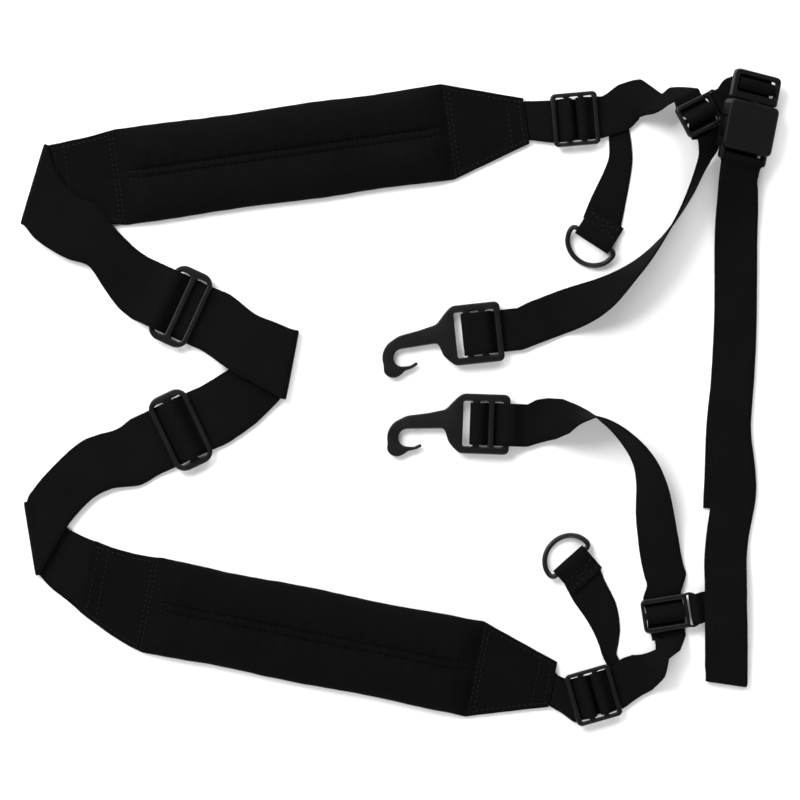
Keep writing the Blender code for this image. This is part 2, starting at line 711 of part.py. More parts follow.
def rear_webbing(finish):
    """The two wide webbings: each runs through its own slider and ends on the other's."""
    outer_middle = (TRI_CENTRE_BAR / 2 + TRI_SLOT + TRI_OUTER_BAR / 2) / MM
    half_bar, half_thick = TRI_OUTER_BAR / 2, BAR_THICK / 2
    pad_end = LEFT_PAD @ Vector((-REAR_TAPER, LEFT_SWEEP, 0.0))
    pad_across = LEFT_PAD.to_3x3() @ Vector((0.0, REAR_END_WIDTH / 2, 0.0))
    back = LEFT_PAD.to_3x3() @ Vector((-2 * FIT, 0.0, level(0)))
    left_crease = crease(at_rear, (-223, 102, -209, 149, 0.6), 3.9, 1)
    left_run = [(pad_end + back, pad_across), *left_crease]
    left_run += edges(at_rear, [(-213, 92, -201, 131, 3.9), (-197, 82, -190, 118, 3.9), (-183, 77, -178, 112.5, 3.8),
                                (-174, 64, -166, 98, 3.3), (-166, 53, -153.5, 86, 1.5)])
    left_entry = in_frame(LEFT_SLIDER, on_slider((-24, 1.0)), WIDE, 1)
    webbing("left_rear_strap", left_run + left_entry, finish)

    over_outer = on_slider((-24, 1.0), (-20.5, 2.0), (-18.5, 3.2), (-16.4, 5.0), (-14.9, 6.5), (-13.1, 8.05),
                           (-10.7, 8.6), (-8.3, 8.05), (-6.55, 6.5), (-5.4, 5.0), (-4.3, 3.6), (-3.2, 2.6),
                           (-1.8, 2.2), (8, 2.2), (16, 2.2), (24, 2.2))
    webbing("left_rear_threaded", in_frame(LEFT_SLIDER, over_outer, WIDE, 1), finish)

    upper = [(-100, 16, -85, 49), (-84, 7.5, -73, 44)]
    lower = [(-84, -15, -88, 24.5)]
    fold = (-67.3, -1.2, -59.6, 39.1)
    left_double = in_frame(LEFT_SLIDER, on_slider((24, 2.2)), WIDE, 1)
    left_double += edges(at_rear, [(*upper[0], 5.6), (*upper[1], 6.1)])
    left_double += crease(at_rear, (*fold, 6.2), 0.6, -1, 8)
    left_double += edges(at_rear, [(*lower[0], 0.6)])
    left_double += in_frame(RIGHT_SLIDER, on_slider((24, 0.6)), WIDE, 1)
    webbing("left_rear_doubled", left_double, finish)

    loop = on_slider((24, 0.6), (12, 0.6), (6.6, 0.6), (5.2, 1.0), (4.2, 1.9), (3.6, 3.1))
    loop += wrap(0.0, TRI_CENTRE_BAR / 2, half_thick, 0, 225)
    webbing("left_rear_end_loop", in_frame(RIGHT_SLIDER, loop, WIDE, 1), finish)

    pad_end = RIGHT_PAD @ Vector((-REAR_TAPER, RIGHT_SWEEP, 0.0))
    pad_across = RIGHT_PAD.to_3x3() @ Vector((0.0, REAR_END_WIDTH / 2, 0.0))
    back = RIGHT_PAD.to_3x3() @ Vector((-2 * FIT, 0.0, level(0)))
    right_run = [(pad_end + back, pad_across)]
    right_run += edges(at_rear, [(-196, -120, -191, -80, 0.6), (-206, -112, -205, -72, 0.6)])
    right_run += crease(at_rear, (-214, -105, -221, -62, 0.6), 4.0, 1)
    right_run += edges(at_rear, [(-205, -92, -217.5, -57, 4.0), (-194, -74, -206, -43, 4.0), (-181, -60, -190, -28, 3.2),
                                 (-169, -54, -179, -22.5, 2.8), (-153, -52, -167, -19, 1.9)])
    right_run += in_frame(RIGHT_SLIDER, on_slider((-24, 1.6)), WIDE, 1)
    webbing("right_rear_strap", right_run, finish)

    half_path = on_slider((-24, 1.6), (-16, 2.2), (-8.6, 2.2), (-7.2, 2.6), (-6.2, 3.6), (-5.2, 5.0),
                          (-4.3, 6.5), (-2.4, 8.05), (0, 8.6))
    other = on_slider((2.4, 8.05), (4.3, 6.5), (5.2, 5.0), (6.2, 3.6), (7.2, 2.6), (8.6, 2.2), (16, 2.2), (24, 2.2))
    webbing("right_rear_threaded", in_frame(RIGHT_SLIDER, half_path + other, WIDE, 1), finish)

    right_double = in_frame(RIGHT_SLIDER, on_slider((24, 2.2)), WIDE, 1)
    right_double += edges(at_rear, [(*lower[0], 2.2)])
    right_double += crease(at_rear, (*fold, 2.2), 4.6, -1, inset=LAYER)
    right_double += edges(at_rear, [(*upper[1], 4.5), (*upper[0], 4.0)])
    right_double += in_frame(LEFT_SLIDER, on_slider((24, 0.6)), WIDE, 1)
    webbing("right_rear_doubled", right_double, finish)

    loop = on_slider((24, 0.6), (12, 0.6), (-4.5, 0.6), (-6.5, 0.8), (-8.4, 1.5))
    loop += wrap(-outer_middle * MM, half_bar, half_thick, -92, -350, 12)
    webbing("right_rear_end_loop", in_frame(LEFT_SLIDER, loop, WIDE, 1), finish)


def lock_profile():
    """Webbing round an inner bar of a lock: under the outer bar, over the inner one, back below."""
    middle = (LOCK_MIDDLE_SLOT / 2 + LOCK_INNER_BAR / 2)
    deck = DECK_MID / MM
    way_in = mm((-15, 2.2 - deck), (-11.5, 2.2 - deck), (-10.0, 2.5 - deck), (-8.6, 3.4 - deck), (-7.4, 5.0 - deck))
    turn = wrap(-middle, LOCK_INNER_BAR / 2, BAR_THICK / 2, 140, -90, 12)
    return [*way_in, *turn, *mm((-7.0, 0.9 - deck), (-9.0, 0.6 - deck), (-11.0, 0.6 - deck))]


def ring_profile():
    """The sewn loop at the end of a pull tail, round the straight bar of its ring."""
    radius = RING_ROD + FIT + THICK / 2 + 0.0001
    turn = [(radius * math.cos(math.radians(a)), radius * math.sin(math.radians(a))) for a in range(-90, 121, 30)]
    floor = level(0) - RING_HEIGHT
    return [(-0.010, floor), (-0.004, floor + 0.0002), *turn,
            (-0.0048, floor + 0.0040), (-0.008, floor + 0.0023), (-0.011, floor + LAYER), (-0.015, floor + LAYER)]


def side_turn(frame, side):
    return frame @ Matrix.Rotation(math.radians(90.0 * side), 4, "Z")


def front_webbing(finish):
    """Tabs, pull tails and front straps of both sides."""
    tab = lock_profile()
    strap = mirrored(tab)
    sides = [
        ("left", LEFT_LOCK, near_left, LEFT_CHEST, LEFT_RING,
         LEFT_PAD, 0.0, 23, [], 16,
         [(125.4, 164.0, 0, 0, 13), (128.8, 159.6, 0, 0, 12), (129.9, 152.2, 0, 0, 13),
          (130.4, 140.4, 0, 0, 14), (127.4, 128.0, 0, 0, 17), (122.8, 114.0, 0, 0, 21), (119.4, 102.6, 0, 0, 23)],
         [(128, 168.0, 1.9, 0, 25), (135.0, 173.6, 2.0, 0, 24), (142.0, 176.0, 2.0, 10, 23), (150.5, 173.6, 2.5, 42, 20),
          (156.0, 174.8, 4.0, 50, 12), (161.6, 178.2, 5.0, 42, 12)]),
        ("right", RIGHT_LOCK, near_right, RIGHT_CHEST, RIGHT_RING,
         RIGHT_PAD, -0.0030, 20, [(94.6, -175.2)], 9,
         [(133.2, -167.4, 0, 0, 9), (131.6, -163.2, 0, 0, 8), (127.4, -158.4, 0, 0, 8), (124.2, -152.8, 0, 0, 8),
          (122.7, -139.2, 0, 0, 15), (118.6, -126.0, 0, 0, 20), (112.0, -114.6, 0, 0, 22), (107.8, -105.6, 0, 0, 23)],
         [(136.0, -165.5, 1.8, 0, 25), (143.0, -162.2, 1.8, 0, 24), (149.5, -157.6, 1.8, 28, 20),
          (154.4, -151.0, 1.8, 55, 14), (157.4, -145.0, 1.7, 25, 18)]),
    ]
    for side, lock, anchor, chest, ring, pad, offset, tab_width, bend, tail_start, tail, front in sides:
        body = in_frame(lock, tab, NARROW)
        pad_end = pad @ Vector((PAD_LENGTH + FRONT_TAPER + 2 * FIT, offset, 0.0))
        across = pad.to_3x3() @ Vector((0.0, -tab_width * MM / 2, 0.0))
        above, below = [], []
        for run, number in ((above, 1), (below, 0)):
            run.append((pad_end + Vector((0, 0, level(number))), across))
            for x, y in bend:
                run.append((Vector((*anchor(x, y), level(number))), (across + body[0][1]) / 2))
        webbing(f"{side}_front_tab", above + body + below[::-1], finish)

        threaded = in_frame(lock, strap, NARROW)
        entry = in_frame(chest, mm((-14.5, -2.2), (-11.6, -2.2)), CHEST_WEB * 0.9)
        webbing(f"{side}_front_strap", threaded + route(anchor, front) + entry, finish)

        floor = 0.6 - DECK_MID / MM
        start = in_frame(lock, mm((11.0, floor), (14.5, floor), (18.0, floor)), tail_start * MM)
        end = in_frame(ring, ring_profile(), NARROW - 0.002)
        webbing(f"{side}_pull_tail", start + route(anchor, tail) + end, finish)
        d_ring(f"{side}_d_ring", ring, METALS["metal"])
        ladder_lock(f"{side}_ladder_lock", lock, METALS["moulded"])
        hinge(f"{side}_d_ring", ring)


def chest_profile():
    """Webbing through a chest slider: under the outer bars and over the middle one."""
    half = mm((-11, -2.2), (-6.6, -2.2), (-4.9, -1.2), (-3.5, 0.9), (-2.0, 2.4), (0, 2.8))
    return half + mirrored(half)[1:]


def hook_webbing(finish):
    """Hook straps with their half twist, and their ends threaded in the hooks."""
    edges_found = hook_edges()
    first_bar = (edges_found[4] + edges_found[5]) / 2
    half_bar, half_thick = HOOK_INNER_BAR / 2, HOOK_THICK / 2
    back = wrap(first_bar, half_bar, half_thick, 90, 262, 9)
    under = [(first_bar + 0.005, -half_thick - 0.0013), (first_bar + 0.009, -half_thick - 0.0013)]
    pivot = (HOOK_PIVOT - HOOK_GAP) / MM
    left = mm((pivot, -2.6), (16, -2.6), (10.4, -2.6), (9.2, -1.8), (7.6, 0.6), (6.4, 2.2), (4.6, 3.0), (0, 3.0))
    right = mm((pivot, -2.0), (21.5, -1.0), (19, 0.8), (16.8, 2.5), (14.6, 2.95), (12.6, 2.95), (10.0, 2.4),
               (8.6, 0.6), (7.2, -1.4), (5.6, -2.5), (3.6, -2.7), (1.6, -2.5), (0.2, -1.4), (-1.2, 0.8), (-2.4, 2.4))
    sides = [
        ("left", LEFT_HOOK, LEFT_CHEST, near_left, left + back + under, -2.6,
         [(181.0, 148.5, 3.4, 50, 22), (179.2, 141, 1.2, 66, 22), (175.6, 132, 0.2, 74, 23), (171.2, 121.5, 0, 78, 24),
          (164.5, 108.5, 0, 84, 24), (156.4, 96, 0, 90, 25), (145, 82, 0, 101, 25), (132.8, 70.8, 0, 116, 25),
          (119, 60.5, 0, 142, 25), (106, 54, 0.3, 165, 25), (93, 49, 0.8, 180, 25), (80, 44, 1.6, 180, 25)]),
        ("right", RIGHT_HOOK, RIGHT_CHEST, near_right, right + back, -2.0,
         [(157.4, -108, 1.0, 0, 24), (154.3, -95.3, 0.2, 4, 24), (150.7, -72.9, 0, 22, 24), (148, -52, 0, 45, 24),
          (143.7, -38.5, 0, 60, 24), (136.3, -27.6, 0, 70, 24), (125.7, -17.5, 0, 80, 24), (114.5, -11.2, 0, 92, 24),
          (105.6, -10.4, 0, 116, 24), (97.9, -11.2, 0.4, 144, 25), (90, -12.6, 1.2, 168, 25), (83, -14, 2.1, 180, 25)]),
    ]
    for side, frame, chest, anchor, profile, lift, path in sides:
        passage = in_frame(chest, chest_profile(), CHEST_WEB)
        end = in_frame(frame, mm(((HOOK_PIVOT + HOOK_GAP) / MM, lift)), NARROW)
        webbing(f"{side}_hook_strap", passage + route(anchor, path) + end, finish)
        webbing(f"{side}_hook_strap_end", in_frame(frame, profile, NARROW), finish)
        hook(f"{side}_hook", frame, METALS["moulded"])
        hinge(f"{side}_hook", frame @ Matrix.Translation((HOOK_PIVOT, 0.0, lift * MM)))


def chest_webbing(finish):
    """Chest strap, its adjusting tail, and the two tabs that join it to the chest sliders."""
    bar = socket_end() - BUCKLE_SLOT - BUCKLE_BAR / 2
    half_bar, half_thick = BUCKLE_BAR / 2, BUCKLE_PLATE / 2
    top = in_frame(BUCKLE, wrap(bar, half_bar, half_thick, 10, 150, 7), NARROW, 1)
    main = [(198.6, 126.5, 7.0, 22, 25), (198.8, 117, 4.9, 14, 25), (198.6, 104, 2.9, 4, 25), (198.3, 90, 1.8, 0, 25),
            (198, 46, 1.6, 0, 25), (196.5, 11, 1.6, 0, 25), (194.5, -18, 1.6, 0, 25), (196.5, -42, 1.6, 0, 26),
            (197, -58, 1.6, 0, 26), (193.5, -80, 1.8, 0, 25), (192.0, -95, 2.8, 0, 25), (192.0, -110, 4.6, 0, 25),
            (192.0, -124, 5.0, 0, 25), (192.2, -136, 4.9, 0, 25), (192.4, -148, 3.7, 0, 25),
             (192.4, -158, 3.3, 0, 25)]
    turn = crease(near_chest, (204.6, -170.5, 180.4, -167.0, 3.9), 0.6, 1)
    back = edges(near_chest, [(204.6, -150, 180.4, -150, 0.6), (204.6, -112, 180.4, -112, 0.6)])
    run = route(near_chest, main)
    share = len(run) * 2 // 5
    webbing("chest_strap_upper", top + run[:share + 1], finish)
    webbing("chest_strap_lower", run[share:] + turn + back, finish)

    below = in_frame(BUCKLE, wrap(bar, half_bar, half_thick, 0, -150, 8), NARROW, 1)
    tail = [(198.6, 126.5, 3.7, 22, 25), (198.8, 117, 1.6, 14, 25), (198.6, 104, 0.2, 4, 25), (198.3, 90, 0, 0, 25),
            (198, 46, 0, 0, 25), (196.2, 11, 0, 0, 25), (193.5, -18, 0, 0, 25), (192.5, -42, 0, 0, 25),
            (191.5, -66, 0, 0, 25)]
    webbing("chest_strap_tail", below + route(near_chest, tail), finish)

    around = wrap(SIDE_MIDDLE, SIDE_BAR / 2, BAR_THICK / 2, 290, 60, 9)
    left_tab = in_frame(side_turn(LEFT_CHEST, 1), around, TAB_WIDTH)
    left_tab += route(near_left, [(195.0, 178.6, 2.6, 0, 18), (199.5, 180.8, 0.6, 0, 18), (207.5, 184.2, 0, 0, 18)])
    webbing("left_chest_tab", left_tab, finish)
    right_tab = in_frame(side_turn(RIGHT_CHEST, -1), around, TAB_WIDTH)
    right_tab += route(near_right, [(178.2, -123.8, 3.0, 0, 18), (180.6, -123.4, 1.9, 0, 18), (196, -121, 1.6, 0, 18)])
    webbing("right_chest_tab", right_tab, finish)

    marks = plug_edges()
    middle = (marks[2] + marks[3]) / 2
    on_plug = [(middle - 0.010, -0.0052), (middle - 0.0015, -0.0052), (middle + 0.0014, -0.0045),
               (middle + 0.0028, -0.0022)]
    on_plug += wrap(middle, half_bar, half_thick, 5, 205)
    webbing("left_chest_tab_end", in_frame(BUCKLE, on_plug, NARROW - 0.001, 1), finish)


METALS = {}


def hinge(name, frame):
    """An empty on a joint's axis, with the moving piece parented to it."""
    pivot = bpy.data.objects.new(f"{name}_axis", None)
    bpy.context.scene.collection.objects.link(pivot)
    pivot.matrix_world = frame
    bpy.context.view_layer.update()
    moving = bpy.data.objects[name]
    where = moving.matrix_world.copy()
    moving.parent = pivot
    moving.matrix_world = where


def main():
    for leftover in list(bpy.data.objects):
        bpy.data.objects.remove(leftover, do_unlink=True)
    finishes = make_materials()
    METALS.update(finishes)
    for side, frame, sweep in (("left", LEFT_PAD, LEFT_SWEEP), ("right", RIGHT_PAD, RIGHT_SWEEP)):
        pad_cover(f"{side}_pad_cover", frame, sweep, finishes["cover"])
        pad_foam(f"{side}_pad_foam", frame, finishes["foam"])
        pad_lining(f"{side}_pad_lining", frame, sweep, finishes["lining"])
    rear_webbing(finishes["webbing"])
    tri_glide("left_rear_slider", LEFT_SLIDER, finishes["moulded"])
    tri_glide("right_rear_slider", RIGHT_SLIDER, finishes["moulded"])
    front_webbing(finishes["webbing"])
    chest_slider("left_chest_slider", LEFT_CHEST, 1, finishes["moulded"])
    chest_slider("right_chest_slider", RIGHT_CHEST, -1, finishes["moulded"])
    hook_webbing(finishes["webbing"])
    chest_webbing(finishes["webbing"])
    buckle_socket("buckle_socket", BUCKLE, finishes["moulded"])
    buckle_plug("buckle_plug", BUCKLE, finishes["moulded"])
    for side, sign in (("left", 1), ("right", -1)):
        buckle_arm(f"buckle_{side}_arm", BUCKLE, sign, finishes["moulded"])
        root = Matrix.Translation((arm_root(), sign * (BUCKLE_WIDTH / 2 - RIM_WALL - ARM_WIDTH / 2), 0.0))
        hinge(f"buckle_{side}_arm", BUCKLE @ root)


if __name__ == "__main__":
    main()
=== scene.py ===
"""Saxophone harness: the visible pads, webbing, moulded hardware and stitches, and a plain stage."""

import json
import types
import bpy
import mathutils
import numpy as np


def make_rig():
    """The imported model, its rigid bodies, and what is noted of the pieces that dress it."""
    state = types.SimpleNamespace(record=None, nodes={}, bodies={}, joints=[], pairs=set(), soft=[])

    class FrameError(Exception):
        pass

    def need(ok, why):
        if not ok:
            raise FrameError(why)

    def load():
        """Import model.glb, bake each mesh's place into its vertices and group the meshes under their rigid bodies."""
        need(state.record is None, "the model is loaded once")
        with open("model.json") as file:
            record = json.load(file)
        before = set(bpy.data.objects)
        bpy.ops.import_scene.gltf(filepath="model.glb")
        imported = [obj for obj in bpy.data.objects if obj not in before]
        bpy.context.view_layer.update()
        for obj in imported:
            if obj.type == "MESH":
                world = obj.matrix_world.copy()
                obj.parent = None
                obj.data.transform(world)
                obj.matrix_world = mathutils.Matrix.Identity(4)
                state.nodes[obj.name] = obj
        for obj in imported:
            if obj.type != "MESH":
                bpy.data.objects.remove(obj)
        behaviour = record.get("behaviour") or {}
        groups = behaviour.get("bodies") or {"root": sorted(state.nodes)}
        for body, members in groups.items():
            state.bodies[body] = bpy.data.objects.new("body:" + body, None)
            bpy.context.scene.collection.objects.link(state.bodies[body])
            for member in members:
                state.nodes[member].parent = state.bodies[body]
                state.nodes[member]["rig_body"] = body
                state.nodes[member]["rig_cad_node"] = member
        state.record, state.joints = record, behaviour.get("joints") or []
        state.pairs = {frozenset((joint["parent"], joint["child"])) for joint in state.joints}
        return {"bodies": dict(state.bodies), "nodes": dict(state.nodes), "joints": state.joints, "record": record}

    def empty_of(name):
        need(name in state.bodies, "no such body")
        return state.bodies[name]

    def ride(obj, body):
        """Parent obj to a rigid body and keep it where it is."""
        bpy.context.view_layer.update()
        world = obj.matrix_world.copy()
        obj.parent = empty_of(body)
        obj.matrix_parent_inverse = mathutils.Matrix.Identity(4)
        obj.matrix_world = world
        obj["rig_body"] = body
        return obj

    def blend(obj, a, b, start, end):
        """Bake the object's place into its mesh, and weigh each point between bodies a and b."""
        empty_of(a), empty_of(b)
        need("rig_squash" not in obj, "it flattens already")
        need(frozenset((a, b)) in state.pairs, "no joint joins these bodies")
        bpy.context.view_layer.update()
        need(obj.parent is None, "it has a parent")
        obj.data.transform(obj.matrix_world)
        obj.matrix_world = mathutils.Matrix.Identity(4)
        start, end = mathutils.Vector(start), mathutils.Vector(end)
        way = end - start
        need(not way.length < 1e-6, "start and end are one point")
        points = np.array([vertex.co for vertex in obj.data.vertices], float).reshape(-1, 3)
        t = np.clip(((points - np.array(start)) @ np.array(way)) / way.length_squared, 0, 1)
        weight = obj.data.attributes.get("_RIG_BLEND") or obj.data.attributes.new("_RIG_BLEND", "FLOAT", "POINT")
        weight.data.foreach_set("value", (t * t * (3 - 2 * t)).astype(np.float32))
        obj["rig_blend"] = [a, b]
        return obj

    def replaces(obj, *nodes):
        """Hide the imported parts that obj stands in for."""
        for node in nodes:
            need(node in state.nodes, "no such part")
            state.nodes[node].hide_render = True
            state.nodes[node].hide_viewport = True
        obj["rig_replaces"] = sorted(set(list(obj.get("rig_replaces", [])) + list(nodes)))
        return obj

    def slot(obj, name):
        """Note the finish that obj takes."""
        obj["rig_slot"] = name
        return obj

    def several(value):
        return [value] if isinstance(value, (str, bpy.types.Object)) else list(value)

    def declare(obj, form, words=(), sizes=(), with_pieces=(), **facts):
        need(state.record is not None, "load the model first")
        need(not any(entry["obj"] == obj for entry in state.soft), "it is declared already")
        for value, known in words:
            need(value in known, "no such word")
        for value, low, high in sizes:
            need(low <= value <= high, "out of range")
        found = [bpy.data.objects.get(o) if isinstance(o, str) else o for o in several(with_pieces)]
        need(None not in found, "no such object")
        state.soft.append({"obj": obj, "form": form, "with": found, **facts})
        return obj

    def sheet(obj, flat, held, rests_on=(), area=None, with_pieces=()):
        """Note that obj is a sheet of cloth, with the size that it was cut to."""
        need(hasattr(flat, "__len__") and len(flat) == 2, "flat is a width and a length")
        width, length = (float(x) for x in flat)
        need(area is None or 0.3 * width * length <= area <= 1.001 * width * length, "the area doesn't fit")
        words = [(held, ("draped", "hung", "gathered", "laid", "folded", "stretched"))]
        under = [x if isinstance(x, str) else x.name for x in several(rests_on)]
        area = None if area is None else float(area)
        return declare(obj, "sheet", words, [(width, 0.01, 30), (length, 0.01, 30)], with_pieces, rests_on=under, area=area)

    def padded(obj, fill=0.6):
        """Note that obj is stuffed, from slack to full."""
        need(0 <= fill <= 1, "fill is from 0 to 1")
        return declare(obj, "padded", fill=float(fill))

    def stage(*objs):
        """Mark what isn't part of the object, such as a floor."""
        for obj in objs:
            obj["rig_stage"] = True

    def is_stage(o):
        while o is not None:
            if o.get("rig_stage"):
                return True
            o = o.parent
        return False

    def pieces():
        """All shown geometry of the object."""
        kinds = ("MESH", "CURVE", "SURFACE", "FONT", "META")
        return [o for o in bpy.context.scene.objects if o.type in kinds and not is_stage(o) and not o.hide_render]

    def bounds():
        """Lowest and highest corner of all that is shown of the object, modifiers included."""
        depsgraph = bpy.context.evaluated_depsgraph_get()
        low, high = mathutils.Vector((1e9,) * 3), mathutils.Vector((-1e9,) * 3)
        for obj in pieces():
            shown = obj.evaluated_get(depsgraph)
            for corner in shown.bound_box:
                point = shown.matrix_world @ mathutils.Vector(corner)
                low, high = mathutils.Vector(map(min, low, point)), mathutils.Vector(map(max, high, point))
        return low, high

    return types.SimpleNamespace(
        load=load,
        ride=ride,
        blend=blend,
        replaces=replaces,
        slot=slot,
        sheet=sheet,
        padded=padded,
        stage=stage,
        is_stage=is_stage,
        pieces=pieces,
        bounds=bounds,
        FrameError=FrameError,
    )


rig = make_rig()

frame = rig.load()

import json
import math

import bmesh
import bpy
from mathutils import Matrix, Vector, noise

bl_info = {
    "name": "Saxophone harness",
    "version": (1, 0, 0),
    "blender": (4, 5, 0),
    "location": "View3D > Sidebar > Harness",
    "description": "Builds the visible pieces of a double-shoulder saxophone harness on its frame",
    "category": "Add Mesh",
}

CAD_BOX = [list(corner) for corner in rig.bounds()]

MM = 0.001

# Webbing
THICK = 0.0012
LAYER_GAP = 0.0004
WIDE = 0.037
NARROW = 0.025
TAB_WIDTH = 0.018
FIT = 0.0003
STEP = 0.006

# Shoulder pads
PAD_LENGTH = 0.194
PAD_WIDTH = 0.057
PAD_HEIGHT = 0.0115
PAD_END = 0.0026
REAR_TAPER = 0.040
REAR_END_WIDTH = 0.043
FRONT_TAPER = 0.047
FRONT_END_WIDTH = 0.027

# Moulded hardware
BAR_THICK = 0.0026
SLOT_SPARE = 0.0008
TRI_CENTRE_BAR = 0.0036
TRI_SLOT = 0.0072
TRI_OUTER_BAR = 0.0034
TRI_END = 0.0042
LOCK_OUTER_BAR = 0.0030
LOCK_INNER_BAR = 0.0026
LOCK_SLOT = 0.0052
LOCK_MIDDLE_SLOT = 0.0060
LOCK_RAIL = 0.0024
CHEST_WEB = 0.0225
CHEST_BAR = 0.0030
CHEST_SLOT = 0.0056
CHEST_RAIL = 0.0022
SIDE_SLOT = 0.0032
SIDE_BAR = 0.0024

# Hooks
HOOK_THICK = 0.0034
HOOK_HALF_WIDTH = 0.0177
HOOK_REAR_BAR = 0.0037
HOOK_INNER_BAR = 0.0034
HOOK_SLOT = 0.0055
HOOK_SHOULDER = 0.0095
THROAT_RADIUS = 0.0052
THROAT_CENTRE = (-0.0457, -0.0096)
BILL_WIDTH = 0.0066
ARM_ROOT = 0.0078
LIP_REACH = 0.0078
LIP_HALF = 0.0010
HOOK_PIVOT = 0.024
HOOK_GAP = 0.0008
HOOK_TILT = 2.3

# D-rings
RING_ROD = 0.0015
RING_DEPTH = 0.0155
RING_CORNER = 0.0025
RING_SPARE = 0.0006

# Side-release buckle
BUCKLE_PLATE = 0.0040
SOCKET_LENGTH = 0.029
SOCKET_MOUTH = 0.007
PLUG_FLANGE = 0.0046
BUCKLE_SLOT = 0.0034
BUCKLE_BAR = 0.0030
BUCKLE_ROLL = 25.0

LAYER = THICK + LAYER_GAP
LAYER_AS_DRAWN = 1.6  # layer, in millimetres, that the heights over the sliders are drawn for
DECK = 2 * LAYER - LAYER_GAP + FIT
DECK_MID = DECK + BAR_THICK / 2
WRAP_SPARE = 0.0002 + THICK / 2 + FIT


def level(number):
    """Height of the middle of a layer of webbing, counted from the table."""
    return THICK / 2 + number * LAYER


def place(x, y, z, heading, roll=0.0, tilt=0.0):
    """A local frame: x along the heading, y to its left; roll lifts the left side, tilt lowers the nose."""
    turn = Matrix.Rotation(math.radians(heading), 4, "Z")
    turn @= Matrix.Rotation(math.radians(tilt), 4, "Y")
    turn @= Matrix.Rotation(math.radians(roll), 4, "X")
    return Matrix.Translation((x, y, z)) @ turn


# Where the pieces lie
LEFT_PAD = place(-0.1643, 0.1302, 0.0, 7.9)
RIGHT_PAD = place(-0.1463, -0.1221, 0.0, -11.2)
LEFT_SWEEP = 0.003
RIGHT_SWEEP = 0.009


def pad_front(pad):
    """Middle of a pad's front end, on the table."""
    return pad @ Vector((PAD_LENGTH + FRONT_TAPER, 0.0, 0.0))


LOCK_STANDOFF = 0.0288
LEFT_FRONT = pad_front(LEFT_PAD)
RIGHT_FRONT = pad_front(RIGHT_PAD)
LEFT_LOCK = place(LEFT_FRONT.x + LOCK_STANDOFF, LEFT_FRONT.y + 0.0008, DECK_MID, 5.0)
RIGHT_LOCK = place(RIGHT_FRONT.x + 0.0238, RIGHT_FRONT.y - 0.0061, DECK_MID, 16.0)


def near_left(x, y):
    """A point of the left front, kept at its distance from the left pad's front end."""
    return (LEFT_FRONT.x + (x - 74.7) * MM, LEFT_FRONT.y + (y - 162.8) * MM)


def near_right(x, y):
    """A point of the right front, kept at its distance from the right pad's front end."""
    return (RIGHT_FRONT.x + (x - 90.4) * MM, RIGHT_FRONT.y + (y + 169.4) * MM)


def near_chest(x, y):
    """A point of the chest strap: its top follows the left front and its bottom the right front."""
    share = min(max((117.0 - y) / 234.0, 0.0), 1.0)
    return tuple(Vector(near_left(x, y)).lerp(Vector(near_right(x, y)), share))


def at_rear(x, y):
    """A point of the rear webbing."""
    return ((x - 0.3) * MM, (y + 0.5) * MM)


LEFT_SLIDER = place(-0.1291, 0.0537, DECK_MID, -24.7)
RIGHT_SLIDER = place(-0.1291, -0.0189, DECK_MID, 25.2)
CHEST_SLIDER_ROLL = -30.0
CHEST_HALF = CHEST_WEB / 2 + FIT + CHEST_RAIL
SIDE_REACH = CHEST_HALF + SIDE_SLOT + SIDE_BAR
SIDE_MIDDLE = SIDE_REACH - SIDE_BAR / 2
LEFT_CHEST = place(*near_left(175.5, 165.0), SIDE_REACH * 0.5 + 0.0035, -62.0, CHEST_SLIDER_ROLL)
RIGHT_CHEST = place(*near_right(156.5, -127.5), DECK_MID, 99.0)
HOOK_RISE = DECK + HOOK_THICK / 2 - 0.0006
LEFT_HOOK = place(*near_left(46.0, 37.5), HOOK_RISE, 6.0, 0.0, -HOOK_TILT)
RIGHT_HOOK = place(*near_right(50.4, -15.9), HOOK_RISE, -2.0, 0.0, -HOOK_TILT)
RING_HEIGHT = RING_ROD + FIT + 1.5 * THICK + 0.0001
RING_TILT = math.degrees(math.asin((RING_HEIGHT - RING_ROD) / RING_DEPTH))
LEFT_RING = place(*near_left(114.5, 93.0), RING_HEIGHT, -123.0)
RIGHT_RING = place(*near_right(101.0, -97.0), RING_HEIGHT, 131.6)
BUCKLE = place(*near_left(205.5, 165.2), 0.0132, 79.0, BUCKLE_ROLL)


def arc(x, y, radius, start, end, steps):
    """Points of an arc, its ends included; angles in degrees."""
    angles = [math.radians(start + (end - start) * i / steps) for i in range(steps + 1)]
    return [(x + radius * math.cos(a), y + radius * math.sin(a)) for a in angles]


def rounded(x0, x1, y0, y1, radius, steps=3):
    """A rectangle with round corners, counter-clockwise."""
    corners = [(x1, y1, 0), (x0, y1, 90), (x0, y0, 180), (x1, y0, 270)]
    line = []
    for x, y, start in corners:
        inward_x = x - radius if x == x1 else x + radius
        inward_y = y - radius if y == y1 else y + radius
        line += arc(inward_x, inward_y, radius, start, start + 90, steps)
    return line


def smooth(points, step):
    """Points along a smooth curve through the given ones, about one step apart in the plan."""
    ends = [points[0], *points, points[-1]]
    dense = []
    for before, start, end, after in zip(ends, ends[1:], ends[2:], ends[3:]):
        count = max(1, round(math.dist(start[:3], end[:3]) / step))
        for i in range(count):
            t = i / count
            dense.append(tuple(
                0.5 * (2 * b + (c - a) * t + (2 * a - 5 * b + 4 * c - d) * t**2
                       + (3 * b - a - 3 * c + d) * t**3)
                for a, b, c, d in zip(before, start, end, after)
            ))
    return [*dense, tuple(points[-1])]


